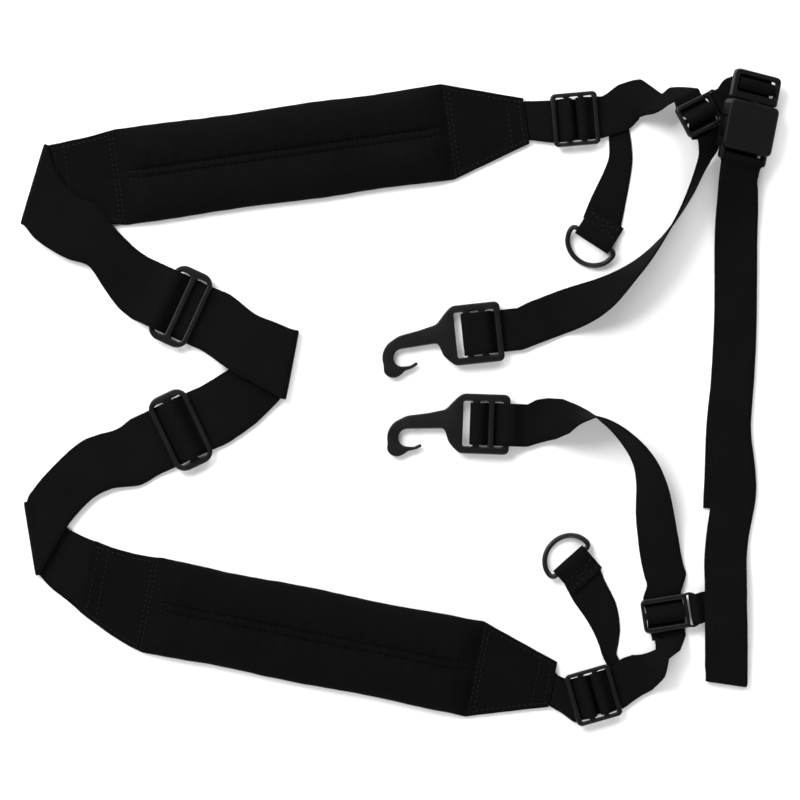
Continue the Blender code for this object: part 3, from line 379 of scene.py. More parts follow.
def lay(points, step=STEP):
    """Stations of webbing along (x, y, lift, roll, width) points.

    A station is the middle of the webbing and half its width as a vector to its right edge.
    Lift is the height of the lowest edge, and roll raises the right edge.
    """
    dense = smooth(points, step)
    stations = []
    for i, (x, y, lift, roll, width) in enumerate(dense):
        before, after = dense[max(i - 1, 0)], dense[min(i + 1, len(dense) - 1)]
        along = Vector((after[0] - before[0], after[1] - before[1], 0.0)).normalized()
        right = Vector((along.y, -along.x, 0.0))
        angle = math.radians(roll)
        across = (right * math.cos(angle) + Vector((0, 0, math.sin(angle)))) * width / 2
        height = lift + abs(math.sin(angle)) * width / 2 + abs(math.cos(angle)) * THICK / 2
        stations.append((Vector((x, y, height)), across))
    return stations


def edges(anchor, rows):
    """Stations from the two edges of the webbing: rows of (x, y, x, y, middle height)."""
    stations = []
    for x0, y0, x1, y1, height in rows:
        first, second = Vector((*anchor(x0, y0), height * MM)), Vector((*anchor(x1, y1), height * MM))
        stations.append(((first + second) / 2, (second - first) / 2))
    return stations


def crease(anchor, row, end, side, steps=6, inset=0.0):
    """Stations of a flat fold over the line between two edge points, from one height to another.

    Side 1 puts the fold's bulge to the left of the way from the first edge to the second, and the
    inset keeps an inner layer that far inside the line.
    """
    (centre, across), = edges(anchor, [row])
    along = Vector((-across.y, across.x, 0.0)).normalized() * side
    radius = abs(end * MM - centre.z) / 2
    rise = 1.0 if end * MM > centre.z else -1.0
    inner = centre - along * (radius + inset)
    stations = []
    for i in range(steps + 1):
        turn = math.pi * i / steps
        up = Vector((0.0, 0.0, rise * radius * (1 - math.cos(turn))))
        stations.append((inner + along * radius * math.sin(turn) + up, across))
    return stations


def route(anchor, points):
    """Webbing through rows of (x, y, lift, roll, width) in millimetres and degrees."""
    return lay([(*anchor(x, y), lift * MM, roll, width * MM) for x, y, lift, roll, width in points])


def in_frame(frame, profile, width, right=-1):
    """Stations along an (x, z) profile of a local frame; right is the side of the right edge."""
    turn = frame.to_3x3()
    across = turn @ Vector((0.0, right * width / 2, 0.0))
    return [(frame @ Vector((x, 0.0, z)), across) for x, z in profile]


def mm(*points):
    """An (x, z) profile written in millimetres."""
    return [(x * MM, z * MM) for x, z in points]


def mirrored(profile):
    return [(-x, z) for x, z in reversed(profile)]


def wrap(x, half_bar, half_thick, start, end, steps=9):
    """An (x, z) profile round a bar, from one angle to another, in degrees."""
    reach_x = half_bar + WRAP_SPARE + 0.0004
    reach_z = half_thick + WRAP_SPARE + 0.0002
    angles = [math.radians(start + (end - start) * i / steps) for i in range(steps + 1)]
    return [(x + reach_x * math.cos(a), reach_z * math.sin(a)) for a in angles]


def pad_station(x, sweep):
    """Half width and sideways offset of a pad at a distance from its rear seam."""
    half = PAD_WIDTH / 2
    if x < 0:
        share = -x / REAR_TAPER
        return half + (REAR_END_WIDTH / 2 - half) * share, sweep * share**1.6
    if x > PAD_LENGTH:
        share = (x - PAD_LENGTH) / FRONT_TAPER
        return half + (FRONT_END_WIDTH / 2 - half) * share, 0.0
    return half, 0.0


def lock_bars():
    """Edges of the four bars of a ladder lock, along its length."""
    widths = [LOCK_OUTER_BAR, LOCK_SLOT, LOCK_INNER_BAR, LOCK_MIDDLE_SLOT,
              LOCK_INNER_BAR, LOCK_SLOT, LOCK_OUTER_BAR]
    edges = [-sum(widths) / 2]
    for width in widths:
        edges.append(edges[-1] + width)
    return edges


def chest_reach():
    return 1.5 * CHEST_BAR + CHEST_SLOT


def hook_edges():
    """Edges along a hook's frame: rear bar, slot, bar, slot, bar, front slot."""
    edges = [0.0145]
    for width in (HOOK_REAR_BAR, HOOK_SLOT, HOOK_INNER_BAR, HOOK_SLOT, HOOK_INNER_BAR, HOOK_SLOT + 0.0006):
        edges.append(edges[-1] - width)
    return edges


def hook_outline():
    """A hook with its frame: broad shoulders, a deep shank, and a bill that thins to its lip."""
    edges = hook_edges()
    rear, front = edges[0], edges[-1] - 0.0010
    half = HOOK_HALF_WIDTH
    neck = front - HOOK_SHOULDER
    cx, cy = THROAT_CENTRE
    top, outer, inner = cy + THROAT_RADIUS, THROAT_RADIUS + BILL_WIDTH, THROAT_RADIUS
    line = [(rear, -half + 0.002), (rear, half - 0.002), (rear - 0.002, half)]
    line += [(front + 0.0010, half), (front - 0.0022, half - 0.0020), (front - 0.0058, half - 0.0058)]
    line += [(neck, ARM_ROOT), (neck - 0.0100, ARM_ROOT - 0.0024), (cx - 0.0005, cy + outer + 0.0012)]
    line += arc(cx, cy, outer, 112, 196, 6)
    line += arc(cx - outer + 0.0060, cy - 0.0052, 0.0062, 200, 290, 4)
    line += [(cx - 0.0010, cy - inner - 0.0042), (cx + 0.0008, cy - inner - 0.0026)]
    line += [(cx + 0.0050, cy - inner - 0.0018)]
    line += arc(cx + LIP_REACH, cy - inner + 0.0008, LIP_HALF, -70, 110, 4)
    line += [(cx + 0.0042, cy - inner - 0.0001)]
    line += arc(cx, cy, inner, 275, 92, 9)
    line += [(neck - 0.0100, top + 0.0006), (neck - 0.0012, top + 0.0010), (neck + 0.0003, top - 0.0004)]
    line += [(neck + 0.0022, top - 0.0066), (front - 0.0042, -half + 0.0032), (front - 0.0005, -half)]
    line += [(rear - 0.002, -half)]
    return line


def ring_half():
    return NARROW / 2 + RING_SPARE + RING_ROD


def socket_end():
    return SOCKET_MOUTH - SOCKET_LENGTH


def plug_edges():
    """Edges of the plug's flange, slots and bars, along the buckle."""
    edges_found = [SOCKET_MOUTH + 0.0006]
    for width in (PLUG_FLANGE, BUCKLE_SLOT, BUCKLE_BAR, BUCKLE_SLOT, BUCKLE_BAR):
        edges_found.append(edges_found[-1] + width)
    return edges_found


def on_slider(*points):
    """Millimetres along a slider and above the table in its own frame; heights grow with the webbing."""
    return [(x * MM, z * LAYER / LAYER_AS_DRAWN - DECK_MID) for x, z in points]


def lock_profile():
    """Webbing round an inner bar of a lock: under the outer bar, over the inner one, back below."""
    middle = (LOCK_MIDDLE_SLOT / 2 + LOCK_INNER_BAR / 2)
    deck = DECK_MID / MM
    way_in = mm((-15, 2.2 - deck), (-11.5, 2.2 - deck), (-10.0, 2.5 - deck), (-8.6, 3.4 - deck),
                (-7.4, 5.0 - deck))
    turn = wrap(-middle, LOCK_INNER_BAR / 2, BAR_THICK / 2, 140, -90, 12)
    return [*way_in, *turn, *mm((-7.0, 0.9 - deck), (-9.0, 0.6 - deck), (-11.0, 0.6 - deck))]


def ring_profile():
    """The sewn loop at the end of a pull tail, round the straight bar of its ring."""
    radius = RING_ROD + FIT + THICK / 2 + 0.0001
    turn = [(radius * math.cos(math.radians(a)), radius * math.sin(math.radians(a)))
            for a in range(-90, 121, 30)]
    floor = level(0) - RING_HEIGHT
    return [(-0.010, floor), (-0.004, floor + 0.0002), *turn,
            (-0.0048, floor + 0.0040), (-0.008, floor + 0.0023), (-0.011, floor + LAYER),
            (-0.015, floor + LAYER)]


def side_turn(frame, side):
    return frame @ Matrix.Rotation(math.radians(90.0 * side), 4, "Z")


def chest_profile():
    """Webbing through a chest slider: under the outer bars and over the middle one."""
    half = mm((-11, -2.2), (-6.6, -2.2), (-4.9, -1.2), (-3.5, 0.9), (-2.0, 2.4), (0, 2.8))
    return half + mirrored(half)[1:]


def rear_seam(pad, sweep):
    """The station where a wide webbing leaves its pad."""
    pad_end = pad @ Vector((-REAR_TAPER, sweep, 0.0))
    across = pad.to_3x3() @ Vector((0.0, REAR_END_WIDTH / 2, 0.0))
    back = pad.to_3x3() @ Vector((-2 * FIT, 0.0, level(0)))
    return pad_end + back, across


def rear_runs():
    """Stations of the two wide webbings: each runs through its own slider and ends on the other's."""
    runs = {}
    outer_middle = (TRI_CENTRE_BAR / 2 + TRI_SLOT + TRI_OUTER_BAR / 2) / MM
    half_bar, half_thick = TRI_OUTER_BAR / 2, BAR_THICK / 2
    left_crease = crease(at_rear, (-223, 102, -209, 149, 0.6), 3.9, 1)
    left_run = [rear_seam(LEFT_PAD, LEFT_SWEEP), *left_crease]
    left_run += edges(at_rear, [(-213, 92, -201, 131, 3.9), (-197, 82, -190, 118, 3.9),
                                (-183, 77, -178, 112.5, 3.8),
                                (-174, 64, -166, 98, 3.3), (-166, 53, -153.5, 86, 1.5)])
    left_entry = in_frame(LEFT_SLIDER, on_slider((-24, 1.0)), WIDE, 1)
    runs["left_rear_strap"] = left_run + left_entry

    over_outer = on_slider((-24, 1.0), (-20.5, 2.0), (-18.5, 3.2), (-16.4, 5.0), (-14.9, 6.5),
                           (-13.1, 8.05),
                           (-10.7, 8.6), (-8.3, 8.05), (-6.55, 6.5), (-5.4, 5.0), (-4.3, 3.6), (-3.2, 2.6),
                           (-1.8, 2.2), (8, 2.2), (16, 2.2), (24, 2.2))
    runs["left_rear_threaded"] = in_frame(LEFT_SLIDER, over_outer, WIDE, 1)

    upper = [(-100, 16, -85, 49), (-84, 7.5, -73, 44)]
    lower = [(-84, -15, -88, 24.5)]
    fold = (-67.3, -1.2, -59.6, 39.1)
    left_double = in_frame(LEFT_SLIDER, on_slider((24, 2.2)), WIDE, 1)
    left_double += edges(at_rear, [(*upper[0], 5.6), (*upper[1], 6.1)])
    left_double += crease(at_rear, (*fold, 6.2), 0.6, -1, 8)
    left_double += edges(at_rear, [(*lower[0], 0.6)])
    left_double += in_frame(RIGHT_SLIDER, on_slider((24, 0.6)), WIDE, 1)
    runs["left_rear_doubled"] = left_double

    loop = on_slider((24, 0.6), (12, 0.6), (6.6, 0.6), (5.2, 1.0), (4.2, 1.9), (3.6, 3.1))
    loop += wrap(0.0, TRI_CENTRE_BAR / 2, half_thick, 0, 225)
    runs["left_rear_end_loop"] = in_frame(RIGHT_SLIDER, loop, WIDE, 1)

    right_run = [rear_seam(RIGHT_PAD, RIGHT_SWEEP)]
    right_run += edges(at_rear, [(-196, -120, -191, -80, 0.6), (-206, -112, -205, -72, 0.6)])
    right_run += crease(at_rear, (-214, -105, -221, -62, 0.6), 4.0, 1)
    right_run += edges(at_rear, [(-205, -92, -217.5, -57, 4.0), (-194, -74, -206, -43, 4.0),
                                 (-181, -60, -190, -28, 3.2),
                                 (-169, -54, -179, -22.5, 2.8), (-153, -52, -167, -19, 1.9)])
    right_run += in_frame(RIGHT_SLIDER, on_slider((-24, 1.6)), WIDE, 1)
    runs["right_rear_strap"] = right_run

    half_path = on_slider((-24, 1.6), (-16, 2.2), (-8.6, 2.2), (-7.2, 2.6), (-6.2, 3.6), (-5.2, 5.0),
                          (-4.3, 6.5), (-2.4, 8.05), (0, 8.6))
    other = on_slider((2.4, 8.05), (4.3, 6.5), (5.2, 5.0), (6.2, 3.6), (7.2, 2.6), (8.6, 2.2), (16, 2.2),
                      (24, 2.2))
    runs["right_rear_threaded"] = in_frame(RIGHT_SLIDER, half_path + other, WIDE, 1)

    right_double = in_frame(RIGHT_SLIDER, on_slider((24, 2.2)), WIDE, 1)
    right_double += edges(at_rear, [(*lower[0], 2.2)])
    right_double += crease(at_rear, (*fold, 2.2), 4.6, -1, inset=LAYER)
    right_double += edges(at_rear, [(*upper[1], 4.5), (*upper[0], 4.0)])
    right_double += in_frame(LEFT_SLIDER, on_slider((24, 0.6)), WIDE, 1)
    runs["right_rear_doubled"] = right_double

    loop = on_slider((24, 0.6), (12, 0.6), (-4.5, 0.6), (-6.5, 0.8), (-8.4, 1.5))
    loop += wrap(-outer_middle * MM, half_bar, half_thick, -92, -350, 12)
    runs["right_rear_end_loop"] = in_frame(LEFT_SLIDER, loop, WIDE, 1)
    return runs


def front_runs():
    """Stations of the tabs, pull tails and front straps of both sides."""
    runs = {}
    tab = lock_profile()
    strap = mirrored(tab)
    sides = [
        ("left", LEFT_LOCK, near_left, LEFT_CHEST, LEFT_RING,
         LEFT_PAD, 0.0, 23, [], 16,
         [(125.4, 164.0, 0, 0, 13), (128.8, 159.6, 0, 0, 12), (129.9, 152.2, 0, 0, 13),
          (130.4, 140.4, 0, 0, 14), (127.4, 128.0, 0, 0, 17), (122.8, 114.0, 0, 0, 21),
          (119.4, 102.6, 0, 0, 23)],
         [(128, 168.0, 1.9, 0, 25), (135.0, 173.6, 2.0, 0, 24), (142.0, 176.0, 2.0, 10, 23),
          (150.5, 173.6, 2.5, 42, 20),
          (156.0, 174.8, 4.0, 50, 12), (161.6, 178.2, 5.0, 42, 12)]),
        ("right", RIGHT_LOCK, near_right, RIGHT_CHEST, RIGHT_RING,
         RIGHT_PAD, -0.0030, 20, [(94.6, -175.2)], 9,
         [(133.2, -167.4, 0, 0, 9), (131.6, -163.2, 0, 0, 8), (127.4, -158.4, 0, 0, 8),
          (124.2, -152.8, 0, 0, 8),
          (122.7, -139.2, 0, 0, 15), (118.6, -126.0, 0, 0, 20), (112.0, -114.6, 0, 0, 22),
          (107.8, -105.6, 0, 0, 23)],
         [(136.0, -165.5, 1.8, 0, 25), (143.0, -162.2, 1.8, 0, 24), (149.5, -157.6, 1.8, 28, 20),
          (154.4, -151.0, 1.8, 55, 14), (157.4, -145.0, 1.7, 25, 18)]),
    ]
    for side, lock, anchor, chest, ring, pad, offset, tab_width, bend, tail_start, tail, front in sides:
        body = in_frame(lock, tab, NARROW)
        pad_end = pad @ Vector((PAD_LENGTH + FRONT_TAPER + 2 * FIT, offset, 0.0))
        across = pad.to_3x3() @ Vector((0.0, -tab_width * MM / 2, 0.0))
        above, below = [], []
        for run, number in ((above, 1), (below, 0)):
            run.append((pad_end + Vector((0, 0, level(number))), across))
            for x, y in bend:
                run.append((Vector((*anchor(x, y), level(number))), (across + body[0][1]) / 2))
        runs[f"{side}_front_tab"] = above + body + below[::-1]

        threaded = in_frame(lock, strap, NARROW)
        entry = in_frame(chest, mm((-14.5, -2.2), (-11.6, -2.2)), CHEST_WEB * 0.9)
        runs[f"{side}_front_strap"] = threaded + route(anchor, front) + entry

        floor = 0.6 - DECK_MID / MM
        start = in_frame(lock, mm((11.0, floor), (14.5, floor), (18.0, floor)), tail_start * MM)
        end = in_frame(ring, ring_profile(), NARROW - 0.002)
        runs[f"{side}_pull_tail"] = start + route(anchor, tail) + end
    return runs


def hook_runs():
    """Stations of the hook straps with their half twist, and of their ends threaded in the hooks."""
    runs = {}
    edges_found = hook_edges()
    first_bar = (edges_found[4] + edges_found[5]) / 2
    half_bar, half_thick = HOOK_INNER_BAR / 2, HOOK_THICK / 2
    back = wrap(first_bar, half_bar, half_thick, 90, 262, 9)
    under = [(first_bar + 0.005, -half_thick - 0.0013), (first_bar + 0.009, -half_thick - 0.0013)]
    pivot = (HOOK_PIVOT - HOOK_GAP) / MM
    left = mm((pivot, -2.6), (16, -2.6), (10.4, -2.6), (9.2, -1.8), (7.6, 0.6), (6.4, 2.2), (4.6, 3.0),
              (0, 3.0))
    right = mm((pivot, -2.0), (21.5, -1.0), (19, 0.8), (16.8, 2.5), (14.6, 2.95), (12.6, 2.95), (10.0, 2.4),
               (8.6, 0.6), (7.2, -1.4), (5.6, -2.5), (3.6, -2.7), (1.6, -2.5), (0.2, -1.4), (-1.2, 0.8),
               (-2.4, 2.4))
    sides = [
        ("left", LEFT_HOOK, LEFT_CHEST, near_left, left + back + under, -2.6,
         [(181.0, 148.5, 3.4, 50, 22), (179.2, 141, 1.2, 66, 22), (175.6, 132, 0.2, 74, 23),
          (171.2, 121.5, 0, 78, 24),
          (164.5, 108.5, 0, 84, 24), (156.4, 96, 0, 90, 25), (145, 82, 0, 101, 25),
          (132.8, 70.8, 0, 116, 25),
          (119, 60.5, 0, 142, 25), (106, 54, 0.3, 165, 25), (93, 49, 0.8, 180, 25),
          (80, 44, 1.6, 180, 25)]),
        ("right", RIGHT_HOOK, RIGHT_CHEST, near_right, right + back, -2.0,
         [(157.4, -108, 1.0, 0, 24), (154.3, -95.3, 0.2, 4, 24), (150.7, -72.9, 0, 22, 24),
          (148, -52, 0, 45, 24),
          (143.7, -38.5, 0, 60, 24), (136.3, -27.6, 0, 70, 24), (125.7, -17.5, 0, 80, 24),
          (114.5, -11.2, 0, 92, 24),
          (105.6, -10.4, 0, 116, 24), (97.9, -11.2, 0.4, 144, 25), (90, -12.6, 1.2, 168, 25),
          (83, -14, 2.1, 180, 25)]),
    ]
    for side, frame, chest, anchor, profile, lift, path in sides:
        passage = in_frame(chest, chest_profile(), CHEST_WEB)
        end = in_frame(frame, mm(((HOOK_PIVOT + HOOK_GAP) / MM, lift)), NARROW)
        runs[f"{side}_hook_strap"] = passage + route(anchor, path) + end
        runs[f"{side}_hook_strap_end"] = in_frame(frame, profile, NARROW)
    return runs


def chest_runs():
    """Stations of the chest strap, its adjusting tail, and the two tabs that join it to the sliders."""
    runs = {}
    bar = socket_end() - BUCKLE_SLOT - BUCKLE_BAR / 2
    half_bar, half_thick = BUCKLE_BAR / 2, BUCKLE_PLATE / 2
    top = in_frame(BUCKLE, wrap(bar, half_bar, half_thick, 10, 150, 7), NARROW, 1)
    main = [(198.6, 126.5, 7.0, 22, 25), (198.8, 117, 4.9, 14, 25), (198.6, 104, 2.9, 4, 25),
            (198.3, 90, 1.8, 0, 25),
            (198, 46, 1.6, 0, 25), (196.5, 11, 1.6, 0, 25), (194.5, -18, 1.6, 0, 25),
            (196.5, -42, 1.6, 0, 26),
            (197, -58, 1.6, 0, 26), (193.5, -80, 1.8, 0, 25), (192.0, -95, 2.8, 0, 25),
            (192.0, -110, 4.6, 0, 25),
            (192.0, -124, 5.0, 0, 25), (192.2, -136, 4.9, 0, 25), (192.4, -148, 3.7, 0, 25),
             (192.4, -158, 3.3, 0, 25)]
    turn = crease(near_chest, (204.6, -170.5, 180.4, -167.0, 3.9), 0.6, 1)
    back = edges(near_chest, [(204.6, -150, 180.4, -150, 0.6), (204.6, -112, 180.4, -112, 0.6)])
    run = route(near_chest, main)
    share = len(run) * 2 // 5
    runs["chest_strap_upper"] = top + run[:share + 1]
    runs["chest_strap_lower"] = run[share:] + turn + back

    below = in_frame(BUCKLE, wrap(bar, half_bar, half_thick, 0, -150, 8), NARROW, 1)
    tail = [(198.6, 126.5, 3.7, 22, 25), (198.8, 117, 1.6, 14, 25), (198.6, 104, 0.2, 4, 25),
            (198.3, 90, 0, 0, 25),
            (198, 46, 0, 0, 25), (196.2, 11, 0, 0, 25), (193.5, -18, 0, 0, 25), (192.5, -42, 0, 0, 25),
            (191.5, -66, 0, 0, 25)]
    runs["chest_strap_tail"] = below + route(near_chest, tail)

    around = wrap(SIDE_MIDDLE, SIDE_BAR / 2, BAR_THICK / 2, 290, 60, 9)
    left_tab = in_frame(side_turn(LEFT_CHEST, 1), around, TAB_WIDTH)
    left_tab += route(near_left, [(195.0, 178.6, 2.6, 0, 18), (199.5, 180.8, 0.6, 0, 18),
                                  (207.5, 184.2, 0, 0, 18)])
    runs["left_chest_tab"] = left_tab
    right_tab = in_frame(side_turn(RIGHT_CHEST, -1), around, TAB_WIDTH)
    right_tab += route(near_right, [(178.2, -123.8, 3.0, 0, 18), (180.6, -123.4, 1.9, 0, 18),
                                    (196, -121, 1.6, 0, 18)])
    runs["right_chest_tab"] = right_tab

    marks = plug_edges()
    middle = (marks[2] + marks[3]) / 2
    on_plug = [(middle - 0.010, -0.0052), (middle - 0.0015, -0.0052), (middle + 0.0014, -0.0045),
               (middle + 0.0028, -0.0022)]
    on_plug += wrap(middle, half_bar, half_thick, 5, 205)
    runs["left_chest_tab_end"] = in_frame(BUCKLE, on_plug, NARROW - 0.001, 1)
    return runs


# ---------------------------------------------------------------- finish of the surfaces
UV_UNIT = 0.01
RUN_STEP = 0.0016
ACROSS_STEPS = 10
FINE = 4
FINE_CORNER = 5
SLOT_CORNER = 0.0012
PLATE_EDGE = 0.0009
HOOK_EDGE = 0.0008
WELD = 0.000001
HINGE_REACH = 0.004
LAP_REACH = 0.0065
TACK_START, TACK_END, TACK_INSET = 0.002, 0.0095, 0.0028
LAP_TRIM = 0.001
PADS = {"left": (LEFT_PAD, LEFT_SWEEP, 3.0), "right": (RIGHT_PAD, RIGHT_SWEEP, 11.0)}  # place, sweep, seed


class Value:
    """A number that a shader works out: sums and products of it add Math nodes."""

    def __init__(self, shader, socket):
        self.shader = shader
        self.socket = socket

    def math(self, operation, *others):
        node = self.shader.node("ShaderNodeMath", {"operation": operation}, [self, *others])
        return Value(self.shader, node.outputs[0])

    def __add__(self, other):
        return self.math("ADD", other)

    __radd__ = __add__

    def __sub__(self, other):
        return self.math("SUBTRACT", other)

    def __rsub__(self, other):
        return (self * -1.0) + other

    def __mul__(self, other):
        return self.math("MULTIPLY", other)

    __rmul__ = __mul__

    def __truediv__(self, other):
        return self.math("DIVIDE", other)

    def sine(self):
        return self.math("SINE")

    def absolute(self):
        return self.math("ABSOLUTE")

    def fold(self, size):
        return self.math("PINGPONG", size)

    def clamp(self):
        return self.math("MINIMUM", 1.0).math("MAXIMUM", 0.0)


class Shader:
    """A material and the nodes that make it."""

    def __init__(self, name):
        self.material = bpy.data.materials.new(name)
        self.material.use_nodes = True
        self.tree = self.material.node_tree
        self.surface = self.tree.nodes["Principled BSDF"]

    def node(self, kind, settings, values):
        made = self.tree.nodes.new(kind)
        for setting, value in settings.items():
            setattr(made, setting, value)
        pairs = values.items() if isinstance(values, dict) else enumerate(values)
        for key, value in pairs:
            self.feed(made.inputs[key], value)
        return made

    def feed(self, socket, value):
        if isinstance(value, Value):
            value = value.socket
        if isinstance(value, bpy.types.NodeSocket):
            self.tree.links.new(value, socket)
        else:
            socket.default_value = value

    def value(self, socket):
        return Value(self, socket)

    def mix(self, share, first, second):
        made = self.node("ShaderNodeMix", {"data_type": "RGBA"}, {0: share, 6: first, 7: second})
        return made.outputs[2]

    def position(self):
        return self.node("ShaderNodeTexCoord", {}, {}).outputs["Object"]

    def noise(self, size, detail=3.0, rough=0.55):
        """Soft noise whose patches are about this size, in metres."""
        made = self.node("ShaderNodeTexNoise", {}, {"Vector": self.position(), "Scale": 1.0 / size,
                                                    "Detail": detail, "Roughness": rough})
        return self.value(made.outputs["Fac"])

    def along_and_across(self):
        """Millimetres along and across the piece, from its own map."""
        laid = self.node("ShaderNodeUVMap", {"uv_map": "laid"}, {})
        parts = self.node("ShaderNodeSeparateXYZ", {}, [laid.outputs[0]])
        scale = UV_UNIT / MM
        return self.value(parts.outputs[1]) * scale, self.value(parts.outputs[0]) * scale

    def from_edge(self):
        """Millimetres from the nearest edge of the piece."""
        read = self.node("ShaderNodeAttribute", {"attribute_name": "from_edge"}, {})
        return self.value(read.outputs["Fac"])

    def bump(self, height, depth, strength=1.0):
        made = self.node("ShaderNodeBump", {}, {"Height": height, "Distance": depth, "Strength": strength})
        self.feed(self.surface.inputs["Normal"], made.outputs[0])

    def set(self, **values):
        for name, value in values.items():
            self.feed(self.surface.inputs[name.replace("_", " ")], value)


def shade(colour, share):
    return (*(channel * share for channel in colour[:3]), 1.0)


def webbing_finish(name, colour, pitch):
    """Woven nylon: crosswise ribs that bend from one warp band to the next, with tight selvedges; painted shade
    darkens the rib grooves and the selvedge furrows.
    """
    shader = Shader(name)
    along, across = shader.along_and_across()
    band = 1.45
    slant = across.fold(band) * 0.42
    ribs = ((along + slant) * (2 * math.pi / pitch)).sine() * 0.5 + 0.5
    bands = (across * (math.pi / band)).sine().absolute()
    selvedge = ((shader.from_edge() - 1.5).absolute() * -2.2 + 1.0).clamp()
    height = ribs * (bands * 0.55 + 0.45) - selvedge * 0.5
    rubbed = shader.noise(0.016)
    fuzz = shader.noise(0.0011, 2.0)
    # Painted shade and highlight: the relief height darkens the rib grooves and selvedge furrows and lightens the rib
    # crowns; rubbed and fuzz are random tone.
    tone = (height * 0.55 + rubbed * 0.5 + fuzz * 0.25).clamp()
    shader.set(Base_Color=shader.mix(tone, shade(colour, 0.45), shade(colour, 1.75)),
               Roughness=rubbed * 0.16 + 0.74, Specular_IOR_Level=0.03)
    shader.bump(height + fuzz * 0.4, 0.00022, 0.9)
    return shader.material


def cloth_finish(name, colour):
    """Plain-woven cover cloth with slubs and lighter rubbed patches, and painted shade between the threads."""
    shader = Shader(name)
    along, across = shader.along_and_across()
    turn = 2 * math.pi / 0.62
    threads = (along * turn).sine() * (across * turn).sine()
    rubbed = shader.noise(0.030, 5.0)
    slub = shader.noise(0.0022, 2.0)
    # Painted shade and highlight: the weave term lightens the thread crowns and darkens the hollows between them;
    # slubs and rubbed patches are random tone.
    tone = (threads * 0.22 + rubbed * 0.75 + slub * 0.3 - 0.15).clamp()
    shader.set(Base_Color=shader.mix(tone, shade(colour, 0.6), shade(colour, 1.5)),
               Roughness=rubbed * 0.12 + 0.82, Specular_IOR_Level=0.03)
    shader.bump(threads * 0.5 + slub * 0.8 + rubbed * 1.5, 0.00018, 0.8)
    return shader.material


def moulded_finish(name, colour):
    """Moulded plastic: a faint grain, rubbed patches and fine scratches."""
    shader = Shader(name)
    grain = shader.noise(0.0006, 2.0)
    rubbed = shader.noise(0.009, 4.0)
    stretched = shader.node("ShaderNodeMapping", {}, {"Vector": shader.position(),
                                                      "Scale": (1.0, 14.0, 1.0),
                                                      "Rotation": (0.0, 0.0, 0.5)})
    made = shader.node("ShaderNodeTexNoise", {}, {"Vector": stretched.outputs[0], "Scale": 160.0,
                                                  "Detail": 4.0})
    scratches = ((shader.value(made.outputs["Fac"]) - 0.62) * 9.0).clamp()
    tone = (rubbed * 0.8 + scratches * 0.5).clamp()
    shader.set(Base_Color=shader.mix(tone, shade(colour, 0.7), shade(colour, 1.6)),
               Roughness=rubbed * 0.18 + 0.26 + scratches * 0.12, Specular_IOR_Level=0.24)
    shader.bump(grain * 0.6 - scratches * 0.4, 0.00005, 0.6)
    return shader.material


def wire_finish(name, colour):
    """Black-coated rod, smooth, with a few bright rubbed spots."""
    shader = Shader(name)
    rubbed = shader.noise(0.0035, 4.0)
    worn = ((rubbed - 0.66) * 7.0).clamp()
    shader.set(Base_Color=shader.mix(worn, shade(colour, 1.0), (0.030, 0.030, 0.032, 1.0)),
               Roughness=rubbed * 0.15 + 0.30, Metallic=worn * 0.5, Specular_IOR_Level=0.22)
    shader.bump(rubbed, 0.00004, 0.5)
    return shader.material


def thread_finish(name, colour):
    """Twisted polyester thread."""
    shader = Shader(name)
    twist = shader.noise(0.0004, 1.0)
    shader.set(Base_Color=shader.mix(twist, shade(colour, 0.7), shade(colour, 1.5)),
               Roughness=twist * 0.1 + 0.5, Specular_IOR_Level=0.15)
    shader.bump(twist, 0.00005, 0.5)
    return shader.material


def floor_finish(name, colour):
    shader = Shader(name)
    soft = shader.noise(0.4, 2.0)
    shader.set(Base_Color=shader.mix(soft, shade(colour, 0.985), shade(colour, 1.0)), Roughness=0.9,
               Specular_IOR_Level=0.05)
    return shader.material


def finish_of(name):
    """The material of this name, made on first use."""
    if name in bpy.data.materials:
        return bpy.data.materials[name]
    look = bpy.context.scene.harness_look
    made = {
        "harness_webbing": (webbing_finish, look.webbing_colour, look.rib_pitch / MM),
        "harness_cloth": (cloth_finish, look.cloth_colour),
        "harness_moulded": (moulded_finish, look.moulded_colour),
        "harness_wire": (wire_finish, look.wire_colour),
        "harness_thread": (thread_finish, look.thread_colour),
        "harness_floor": (floor_finish, look.floor_colour),
    }
    make, *settings = made[name]
    return make(name, *settings)


# ---------------------------------------------------------------- meshes
def linked(name, data):
    """A new object in the scene."""
    made = bpy.data.objects.new(name, data)
    bpy.context.scene.collection.objects.link(made)
    return made


def evaluated_mesh(holder):
    """The mesh that a curve or a modifier gives; its holder is removed."""
    bpy.context.view_layer.update()
    graph = bpy.context.evaluated_depsgraph_get()
    mesh = bpy.data.meshes.new_from_object(holder.evaluated_get(graph))
    bpy.data.objects.remove(holder)
    return mesh


def closed_line(curve, line):
    """Adds a closed line of (x, y) points to a curve."""
    spline = curve.splines.new("POLY")
    spline.points.add(len(line) - 1)
    for point, (x, y) in zip(spline.points, line):
        point.co = (x, y, 0.0, 1.0)
    spline.use_cyclic_u = True


def add_piece(name, mesh, material, body, *nodes, slot=None):
    """A finished piece: it rides on its body and stands for its frame nodes."""
    made = linked(name, mesh)
    mesh.materials.clear()
    mesh.materials.append(material)
    if nodes:
        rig.replaces(made, *nodes)
    if slot:
        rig.slot(made, slot)
    if body:
        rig.ride(made, body)
    return made


def smooth_shading(mesh, angle=40.0):
    mesh.shade_smooth()
    mesh.set_sharp_from_angle(angle=math.radians(angle))


